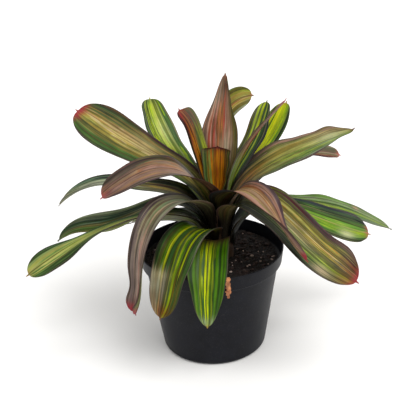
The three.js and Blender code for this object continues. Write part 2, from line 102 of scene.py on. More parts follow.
class Finish:
    """A procedural material, built node by node."""

    def __init__(self, name):
        self.material = bpy.data.materials.new(name)
        self.material.use_nodes = True
        self.tree = self.material.node_tree
        self.shader = self.tree.nodes["Principled BSDF"]

    def node(self, kind, inputs=(), output=0, **settings):
        """Adds a node, feeds its inputs by name or number, and gives one of its outputs."""
        node = self.tree.nodes.new("ShaderNode" + kind)
        for key, value in settings.items():
            setattr(node, key, value)
        for key, value in dict(inputs).items():
            self.feed(node.inputs[key], value)
        return node.outputs[output]

    def feed(self, socket, value):
        if isinstance(value, bpy.types.NodeSocket):
            self.tree.links.new(value, socket)
        else:
            socket.default_value = value

    def set(self, **sockets):
        """Sets the shader's inputs; an underscore stands for a space."""
        for name, value in sockets.items():
            self.feed(self.shader.inputs[name.replace("_", " ")], value)

    def attribute(self, name):
        return self.node("Attribute", output="Fac", attribute_name=name)

    def object_point(self):
        return self.node("TexCoord", output="Object")

    def math(self, operation, *values):
        return self.node("Math", enumerate(values), operation=operation)

    def add(self, a, b):
        return self.math("ADD", a, b)

    def times(self, a, b):
        return self.math("MULTIPLY", a, b)

    def step(self, value, start, end):
        """0 up to start, 1 from end on, smooth between them."""
        inputs = {"Value": value, "From Min": start, "From Max": end}
        return self.node("MapRange", inputs, interpolation_type="SMOOTHSTEP")

    def range(self, value, low, high):
        """A noise value, which keeps near one half, spread over low to high."""
        inputs = {"Value": value, "From Min": 0.3, "From Max": 0.7, "To Min": low, "To Max": high}
        return self.node("MapRange", inputs)

    def mix(self, share, first, second, blend="MIX"):
        return self.node("Mix", {0: share, 6: first, 7: second}, 2, data_type="RGBA", blend_type=blend)

    def shade(self, colour, value, saturation=1.0):
        return self.node("HueSaturation", {"Value": value, "Saturation": saturation, "Color": colour})

    def ramp(self, value, stops):
        node = self.tree.nodes.new("ShaderNodeValToRGB")
        elements = node.color_ramp.elements
        for element, (position, colour) in zip(elements, (stops[0], stops[-1])):
            element.position = position
            element.color = colour
        for position, colour in stops[1:-1]:
            elements.new(position).color = colour
        self.feed(node.inputs[0], value)
        return node.outputs[0]

    def point(self, x, y, z):
        return self.node("CombineXYZ", enumerate((x, y, z)))

    def noise(self, vector, scale=1.0, detail=2.0, roughness=0.5):
        inputs = {"Vector": vector, "Scale": scale, "Detail": detail, "Roughness": roughness}
        return self.node("TexNoise", inputs)

    def cells(self, vector, scale):
        return self.node("TexVoronoi", {"Vector": vector, "Scale": scale})

    def bump(self, height, distance, strength=1.0):
        inputs = {"Strength": strength, "Distance": distance * MM, "Height": height}
        self.set(Normal=self.node("Bump", inputs))


# ------------------------------------------------------------------ leaf forms
PLANT_X = 8
LEAF_THICKNESS = 0.8
RING_RADIUS = 3
RING_STEP = 1.4
ROOT_TOP = 158
ROOT_DROP = 3.4
OUTER_RING = 11
SPINE_STEPS = 120
POINT_START = 0.985
POINT_HALF_WIDTH = 1.1    # finer than the solids' 1.2
POINT_END_SHARE = 0.35    # finer than the solids' 0.5
POINT_BLEND = 6           # a larger value joins blade and point less softly
LEAST_BEND = 1.5
HOOK_FROM = 0.955         # share of the length from which the very end hooks
HOOK_LENGTH = 0.05

# The same leaves as the solids: values at 0, 20, 40, 60, 80 and 100% of the length,
# in degrees, with spread as shares of the width.  tight_to, open_at and taper are
# shares of the length; hook and hook_turn bend the very end up and aside.
LEAVES = [
    dict(name="leaf_heart", ring=0, azimuth=74, length=80, width=36,
         pitch=[90, 86, 84, 82, 80, 74], cup=[150, 140, 136, 130, 110, 100],
         spread=[0.5, 0.75, 0.88, 0.95, 1, 1.06], sheath_arc=150, tight_to=0.15, open_at=0.6,
         taper=0.92, point=3.5, hook=30),
    dict(name="leaf_inner_left", ring=1, azimuth=142, length=132, width=27,
         pitch=[90, 78, 75, 70, 66, 28], cup=[120, 100, 60, 50, 60, 70],
         sway=[0, 0, 0, 0, 4, 12], roll=[0, 0, -10, -15, -10, 0],
         spread=[0.55, 0.75, 0.8, 0.78, 0.95, 1.22], open_at=0.42, taper=0.91, hook=55),
    dict(name="leaf_inner_back", ring=2, azimuth=74, length=166, width=44,
         pitch=[90, 79, 70, 71, 63, 74], cup=[100, 80, 60, 70, 120, 180],
         spread=[0.6, 0.8, 0.96, 1, 0.8, 0.7], open_at=0.42, taper=0.5, point=1.5),
    dict(name="leaf_back_curled", ring=3, azimuth=86, length=168, width=26,
         pitch=[90, 77, 68, 61, 42, -8], cup=[90, 70, 50, 40, 40, 60],
         sway=[0, 0, 0, -15, -60, -85], roll=[0, 0, 0, 15, 50, 75], sheath_arc=36, open_at=0.42,
         taper=0.85),
    dict(name="leaf_inner_right", ring=4, azimuth=15, length=164, width=31,
         pitch=[90, 77, 66, 56, 45, 42], cup=[100, 80, 60, 50, 50, 70],
         roll=[0, -12, -28, -32, -28, -20], spread=[0.5, 1, 1.05, 1, 0.9, 0.85], sheath_arc=60,
         open_at=0.42, hook=25),
    dict(name="leaf_arching_left", ring=2, azimuth=230, length=189, width=40,
         pitch=[90, 60, 43, 14, -22, -30], cup=[110, 90, 60, 45, 50, 70],
         sway=[0, -2, -6, -20, -30, -36], roll=[0, -8, -12, -12, -14, -8],
         spread=[0.75, 1.08, 1.3, 1.15, 1, 1], taper=0.84),
    dict(name="leaf_arching_right", ring=3, azimuth=300, length=188, width=44,
         pitch=[90, 54, 18, -28, -49, -44], cup=[110, 90, 60, 60, 70, 90],
         sway=[0, 2, 4, 8, 22, 38], roll=[0, 0, 0, -8, -42, -50],
         spread=[0.75, 1.1, 1, 0.88, 0.7, 0.62], sheath_arc=56),
    dict(name="leaf_back_right_short", ring=5, azimuth=54, length=165, width=26,
         pitch=[90, 72, 46, 37, 45, 38], cup=[90, 70, 50, 40, 40, 60],
         sway=[0, -10, -12, -4, 8, 8], spread=[0.55, 0.8, 1, 1, 1, 1], sheath_arc=60,
         open_at=0.42, taper=0.75, hook=20),
    dict(name="leaf_upper_left", ring=3, azimuth=150, length=226, width=50,
         pitch=[90, 48, 17, 20, 25, 27], cup=[90, 70, 50, 40, 40, 60],
         roll=[0, -8, -22, -28, -32, -32], spread=[0.5, 0.6, 0.72, 0.98, 1.04, 0.98], taper=0.82),
    dict(name="leaf_upper_right", ring=6, azimuth=13, length=202, width=48,
         pitch=[90, 62, 30, 20, 14, 12], cup=[100, 80, 60, 55, 70, 120],
         roll=[0, -4, 2, 20, 30, 28], spread=[0.6, 1.05, 1.2, 1.02, 0.72, 0.62], taper=0.5,
         point=1.5, hook=30, hook_turn=10),
    dict(name="leaf_back_right", ring=7, azimuth=49, length=184, width=34,
         pitch=[90, 60, 34, 26, 42, 48], cup=[90, 70, 50, 40, 40, 60], taper=0.78),
    dict(name="leaf_right_narrow", ring=8, azimuth=27, length=198, width=24,
         pitch=[90, 54, 30, 12, -8, -28], cup=[90, 70, 50, 40, 40, 60],
         roll=[0, 0, 0, 0, 30, 50], spread=[0.6, 0.7, 0.6, 0.5, 0.7, 1.1], taper=0.8, point=2),
    dict(name="leaf_left_folded", ring=6, azimuth=172, length=210, width=38,
         pitch=[90, 42, 8, 6, -22, -46], cup=[90, 70, 50, 55, 100, 110],
         spread=[0.8, 1.1, 1.1, 1, 0.95, 0.85], open_at=0.22, taper=0.5),
    dict(name="leaf_hanging_left", ring=5, azimuth=229, length=231, width=30,
         pitch=[90, 40, 6, -52, -84, -66], cup=[100, 80, 60, 90, 140, 150],
         sway=[0, 0, 0, 0, -3, -20], spread=[0.9, 1.2, 1.2, 1, 0.86, 1.1], open_at=0.22,
         taper=0.9, hook=-30),
    dict(name="leaf_back_left", ring=5, azimuth=127, length=186, width=37,
         pitch=[90, 46, 38, 37, 40, 36], cup=[90, 70, 50, 40, 40, 60],
         sway=[0, 2, 2, 0, -12, -26], spread=[0.55, 0.7, 0.86, 1.02, 0.96, 0.6], sheath_arc=60,
         taper=0.9, point=3),
    dict(name="leaf_right", ring=9, azimuth=358, length=188, width=43,
         pitch=[90, 38, -8, -24, -22, -12], cup=[80, 60, 40, 35, 35, 60],
         roll=[0, 0, 0, 14, 28, 30], spread=[0.7, 0.95, 1, 1.04, 1.02, 0.95], open_at=0.24,
         taper=0.8),
    dict(name="leaf_front_right", ring=7, azimuth=318, length=216, width=57,
         pitch=[90, 54, -16, -36, -31, -24], cup=[80, 60, 40, 35, 35, 60],
         sway=[0, 1, 4, 7, 10, 12], roll=[0, 2, 2, 4, 12, 16],
         spread=[0.7, 1, 1.17, 1.12, 1, 0.85], sheath_arc=60, open_at=0.24, taper=0.8),
    dict(name="leaf_front_left", ring=9, azimuth=241, length=168, width=46,
         pitch=[90, 32, -2, -42, -66, -60], cup=[80, 60, 45, 38, 35, 60],
         sway=[0, 0, 0, 0, -4, -16], spread=[0.8, 1, 1, 1, 0.9, 0.75], sheath_arc=66,
         open_at=0.22, taper=0.8),
    dict(name="leaf_left_twisted", ring=7, azimuth=178, length=206, width=27,
         pitch=[90, 36, -22, -22, -4, -50], cup=[80, 60, 50, 60, 60, 80],
         roll=[0, 0, -4, -14, -24, -20], spread=[0.8, 1, 1.15, 1.3, 1.2, 1]),
    dict(name="leaf_right_low", ring=11, azimuth=18, length=246, width=42,
         pitch=[90, 24, -13, -20, -30, -29], cup=[80, 60, 40, 35, 35, 60],
         sway=[0, 0, 0, -1, -2, -2], roll=[0, 0, 8, 14, 10, 0],
         spread=[0.45, 0.42, 0.55, 0.92, 1.05, 1.15], sheath_arc=54, open_at=0.24, taper=0.8,
         point=2, hook=-15),
    dict(name="leaf_left_low", ring=8, azimuth=202, length=234, width=31,
         pitch=[90, 24, 1, -13, -24, -28], cup=[80, 60, 60, 60, 40, 60],
         roll=[0, 0, 14, 0, -40, -45], spread=[0.7, 0.95, 0.7, 0.5, 0.92, 1.05], open_at=0.24,
         taper=0.82),
    dict(name="leaf_front", ring=11, azimuth=259, length=140, width=41,
         pitch=[90, 28, -25, -50, -70, -80], cup=[80, 65, 55, 45, 40, 60],
         sway=[0, 0, 2, 5, 6, 6], spread=[0.75, 1, 1.1, 1.05, 0.95, 0.75], open_at=0.26,
         taper=0.6, point=1.7),
    dict(name="leaf_back_low", ring=9, azimuth=92, length=185, width=42,
         pitch=[90, 40, 4, -14, -28, -40], cup=[80, 60, 40, 35, 35, 60],
         spread=[0.7, 0.8, 0.95, 1, 1, 1], taper=0.75),
    dict(name="leaf_back_left_low", ring=10, azimuth=150, length=122, width=44,
         pitch=[90, 28, -4, -12, -22, -34], cup=[80, 60, 40, 35, 35, 60],
         spread=[0.7, 0.8, 0.95, 1, 1, 1], taper=0.75),
]
LEAF_DEFAULTS = dict(sway=[0] * 6, roll=[0] * 6, spread=[0.55, 0.67, 0.9, 1, 1, 1], sheath_arc=70,
                     tight_to=0.04, open_at=0.28, taper=0.62, point=2.6, hook=0, hook_turn=0)

# Where a margin stands out or in: its side (1 left, -1 right), the place and half
# length as shares of the leaf's length, and how far it stands out in millimetres.
LOBES = {
    "leaf_inner_back": [(-1, 0.93, 0.02, 4.5), (1, 0.62, 0.1, 1.5)],
    "leaf_inner_left": [(1, 0.9, 0.03, 1.5)],
    "leaf_upper_left": [(-1, 0.8, 0.1, 2)],
    "leaf_upper_right": [(1, 0.85, 0.06, 5), (1, 0.66, 0.05, -1.5), (-1, 0.9, 0.05, -3)],
    "leaf_right_narrow": [(-1, 0.86, 0.05, 1.2)],
    "leaf_hanging_left": [(1, 0.94, 0.03, 4), (-1, 0.86, 0.06, -2.5)],
    "leaf_back_left": [(1, 0.85, 0.1, -2), (-1, 0.6, 0.1, -2)],
    "leaf_back_right_short": [(-1, 0.88, 0.08, -2.5)],
    "leaf_right": [(-1, 0.85, 0.1, -3)],
    "leaf_front_right": [(1, 0.87, 0.07, 2.5)],
    "leaf_front_left": [(1, 0.75, 0.1, -2)],
    "leaf_front": [(-1, 0.7, 0.1, -2)],
    "leaf_left_twisted": [(1, 0.8, 0.18, -8), (-1, 0.72, 0.16, 2.5)],
    "leaf_left_low": [(-1, 0.74, 0.12, -5), (1, 0.88, 0.07, -2.5)],
    "leaf_right_low": [(1, 0.74, 0.12, -4), (-1, 0.9, 0.04, 1.5)],
}

# Fineness of a leaf's mesh and the relief that it carries.
BLADE_ROWS = 92
END_ROWS = 38
END_FROM = 0.86           # the rows stand closer from this share of the length on
COLUMNS = 54
MARGIN_DENSITY = 0.5      # how strongly the columns crowd towards the margins
FREE_FROM = 0.3           # share of the length from which a leaf is clear of the others
FREE_LENGTH = 0.25        # the relief grows over this share of it
FLAT_FROM = 0.93          # and dies out from here, over FLAT_LENGTH
FLAT_LENGTH = 0.03
FULL_RELIEF_FROM = 14     # half width of the blade; narrower parts have less
LEAST_RELIEF = 0.2
FLUTES = 8
FLUTE_DEPTH = 0.16
WAVE_HEIGHT = 1.3         # waves of the margins
WIDTH_WANDER = 0.03       # how much the width wanders, as a share of itself
LUMP_HEIGHT = 0.5


def smooth(x):
    t = np.clip(x, 0, 1)
    return t * t * (3 - 2 * t)


def along(values, u):
    """Value at share u of an evenly spaced list, along a Catmull-Rom curve."""
    first, last = values[0], values[-1]
    padded = np.array([2 * first - values[1], *values, 2 * last - values[-2]], float)
    x = np.clip(u, 0, 1) * (len(values) - 1)
    i = np.minimum(x.astype(int), len(values) - 2)
    t = x - i
    before, a, b, after = (padded[i + k] for k in range(4))
    return 0.5 * (2 * a + (b - before) * t
                  + (2 * before - 5 * a + 4 * b - after) * t ** 2
                  + (3 * a - before - 3 * b + after) * t ** 3)


def leaf_frame(leaf, u):
    """Unit vectors along the leaf, to its left and out of its upper face."""
    hooked = smooth((u - HOOK_FROM) / HOOK_LENGTH)
    pitch = np.radians(along(leaf["pitch"], u) + leaf["hook"] * hooked)
    heading = np.radians(leaf["azimuth"] + along(leaf["sway"], u) + leaf["hook_turn"] * hooked)
    roll = np.radians(along(leaf["roll"], u))[:, None]
    forward = np.stack([np.cos(pitch) * np.cos(heading), np.cos(pitch) * np.sin(heading),
                        np.sin(pitch)], -1)
    left = np.stack([-np.sin(heading), np.cos(heading), 0 * heading], -1)
    up = np.cross(forward, left)
    return (forward, left * np.cos(roll) + up * np.sin(roll),
            up * np.cos(roll) - left * np.sin(roll))


def leaf_spine(leaf, u):
    """Points of the midline, which leaves the stem upright at the root."""
    azimuth = math.radians(leaf["azimuth"])
    radius = RING_RADIUS + RING_STEP * leaf["ring"]
    start = np.array([PLANT_X + radius * math.cos(azimuth), radius * math.sin(azimuth),
                      ROOT_TOP - ROOT_DROP * leaf["ring"]])
    middles = (np.arange(SPINE_STEPS) + 0.5) / SPINE_STEPS
    steps = leaf_frame(leaf, middles)[0] * leaf["length"] / SPINE_STEPS
    points = np.vstack([start, start + np.cumsum(steps, 0)])
    shares = np.linspace(0, 1, SPINE_STEPS + 1)
    return np.stack([np.interp(u, shares, points[:, k]) for k in range(3)], -1)


def end_rounding(leaf, u):
    """Share of the width that is left where the end of the blade rounds off."""
    end = np.clip((u - leaf["taper"]) / (POINT_START - leaf["taper"]), 0, 1)
    return np.sqrt(np.maximum(1 - end ** leaf["point"], 0))


def blade_half_width(leaf, u):
    past = np.clip((u - POINT_START) / (1 - POINT_START), 0, 1)
    point = POINT_HALF_WIDTH * (1 - (1 - POINT_END_SHARE) * past)
    blade = leaf["width"] / 2 * along(leaf["spread"], u) * end_rounding(leaf, u)
    return (blade ** POINT_BLEND + point ** POINT_BLEND) ** (1 / POINT_BLEND)


def leaf_section(leaf, u):
    """Half width and arc angle of the cross-section, from sheath to blade."""
    radius = RING_RADIUS + RING_STEP * leaf["ring"]
    sheath_arc = math.radians(leaf["sheath_arc"])
    opened = smooth((u - leaf["tight_to"]) / (leaf["open_at"] - leaf["tight_to"]))
    half_width = sheath_arc * radius / 2 * (1 - opened) + blade_half_width(leaf, u) * opened
    arc = sheath_arc * (1 - opened) + np.radians(along(leaf["cup"], u)) * opened
    return half_width, np.minimum(arc, half_width / LEAST_BEND)


def waves(u, rng, lowest, highest, count=3):
    """A smooth random curve of u between about -1 and 1."""
    total = 0 * u
    for k in range(count):
        turns = rng.uniform(lowest, highest)
        total = total + np.sin(2 * math.pi * (turns * u + rng.uniform(0, 1))) / count
    return total


def lobed(leaf, u, v, half_width):
    """How much the lobes of the margins widen the blade, as a share of the half width."""
    widening = np.zeros((len(u), len(v)))
    for side, place, length, reach in LOBES.get(leaf["name"], []):
        stand = reach * np.exp(-((u - place) / length) ** 2) / half_width
        widening += stand[:, None] * np.clip(side * v, 0, 1)[None, :]
    return widening


def leaf_surface(leaf, u, v, side, rng_seed):
    """Points at shares u along by v across; side is 1 above, -1 below."""
    rng = random.Random(rng_seed)
    forward, left, up = leaf_frame(leaf, u)
    half_width, arc = leaf_section(leaf, u)
    free = smooth((u - FREE_FROM) / FREE_LENGTH) * (1 - smooth((u - FLAT_FROM) / FLAT_LENGTH))
    broad = np.clip(half_width / FULL_RELIEF_FROM, LEAST_RELIEF, 1)
    wave_left = waves(u, rng, 1.5, 5) * free * broad
    wave_right = waves(u, rng, 1.5, 5) * free * broad
    widen_left = 1 + WIDTH_WANDER * waves(u, rng, 1, 3) * free
    widen_right = 1 + WIDTH_WANDER * waves(u, rng, 1, 3) * free
    lumps = waves(u, rng, 2, 6)[:, None] * waves(v, rng, 0.4, 1.2)[None, :] * free[:, None]
    flute_phase = rng.uniform(0, 1)

    leftwards = v > 0
    spread = np.where(leftwards[None, :], widen_left[:, None], widen_right[:, None])
    bend = (2 * half_width / arc)[:, None]
    spread = spread + lobed(leaf, u, v, half_width)
    angle = v[None, :] * spread * (arc / 2)[:, None]
    margin = np.where(leftwards[None, :], wave_left[:, None], wave_right[:, None])
    flutes = np.cos(2 * math.pi * (FLUTES * v / 2 + flute_phase))[None, :]
    flute_fade = (1 - v ** 4)[None, :] * (0.35 + 0.65 * free[:, None]) * broad[:, None]
    relief = (WAVE_HEIGHT * margin * np.abs(v)[None, :] ** 3 + LUMP_HEIGHT * lumps
              + FLUTE_DEPTH * flutes * flute_fade)
    thickness = LEAF_THICKNESS / 2 * np.sqrt(np.maximum(1 - v ** 8, 0))[None, :]
    lift = relief + side * thickness
    middle = leaf_spine(leaf, u)[:, None, :]
    return (middle + left[:, None, :] * ((bend - lift) * np.sin(angle))[..., None]
            + up[:, None, :] * (bend - (bend - lift) * np.cos(angle))[..., None])


def add_piece(name, points, faces, material, replaced=None):
    """A smooth mesh, from points in millimetres, that rides on the body."""
    mesh = bpy.data.meshes.new(name)
    mesh.from_pydata((np.asarray(points) * MM).tolist(), [], faces)
    mesh.shade_smooth()
    mesh.materials.append(material)
    piece = bpy.data.objects.new(name, mesh)
    bpy.context.scene.collection.objects.link(piece)
    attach(piece, BODY)
    if replaced:
        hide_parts(replaced)
    return piece


def add_values(piece, **attributes):
    for name, values in attributes.items():
        layer = piece.data.attributes.new(name, "FLOAT", "POINT")
        layer.data.foreach_set("value", np.asarray(values, np.float32).ravel())


def ring_faces(rings, sides, flip=False):
    """Quads between rings of points that are numbered ring by ring."""
    faces = []
    for i in range(rings - 1):
        near = i * sides
        far = near + sides
        for j in range(sides):
            k = (j + 1) % sides
            quad = (near + j, far + j, far + k, near + k)
            faces.append(quad[::-1] if flip else quad)
    return faces


def sheet_faces(above, below):
    """Quads of the upper and the lower face of a sheet, from grids of point numbers."""
    faces = []
    for grid, order in ((above, (0, 1, 2, 3)), (below, (3, 2, 1, 0))):
        corners = [grid[:-1, :-1], grid[1:, :-1], grid[1:, 1:], grid[:-1, 1:]]
        faces += np.stack([corners[k] for k in order], -1).reshape(-1, 4).tolist()
    return faces


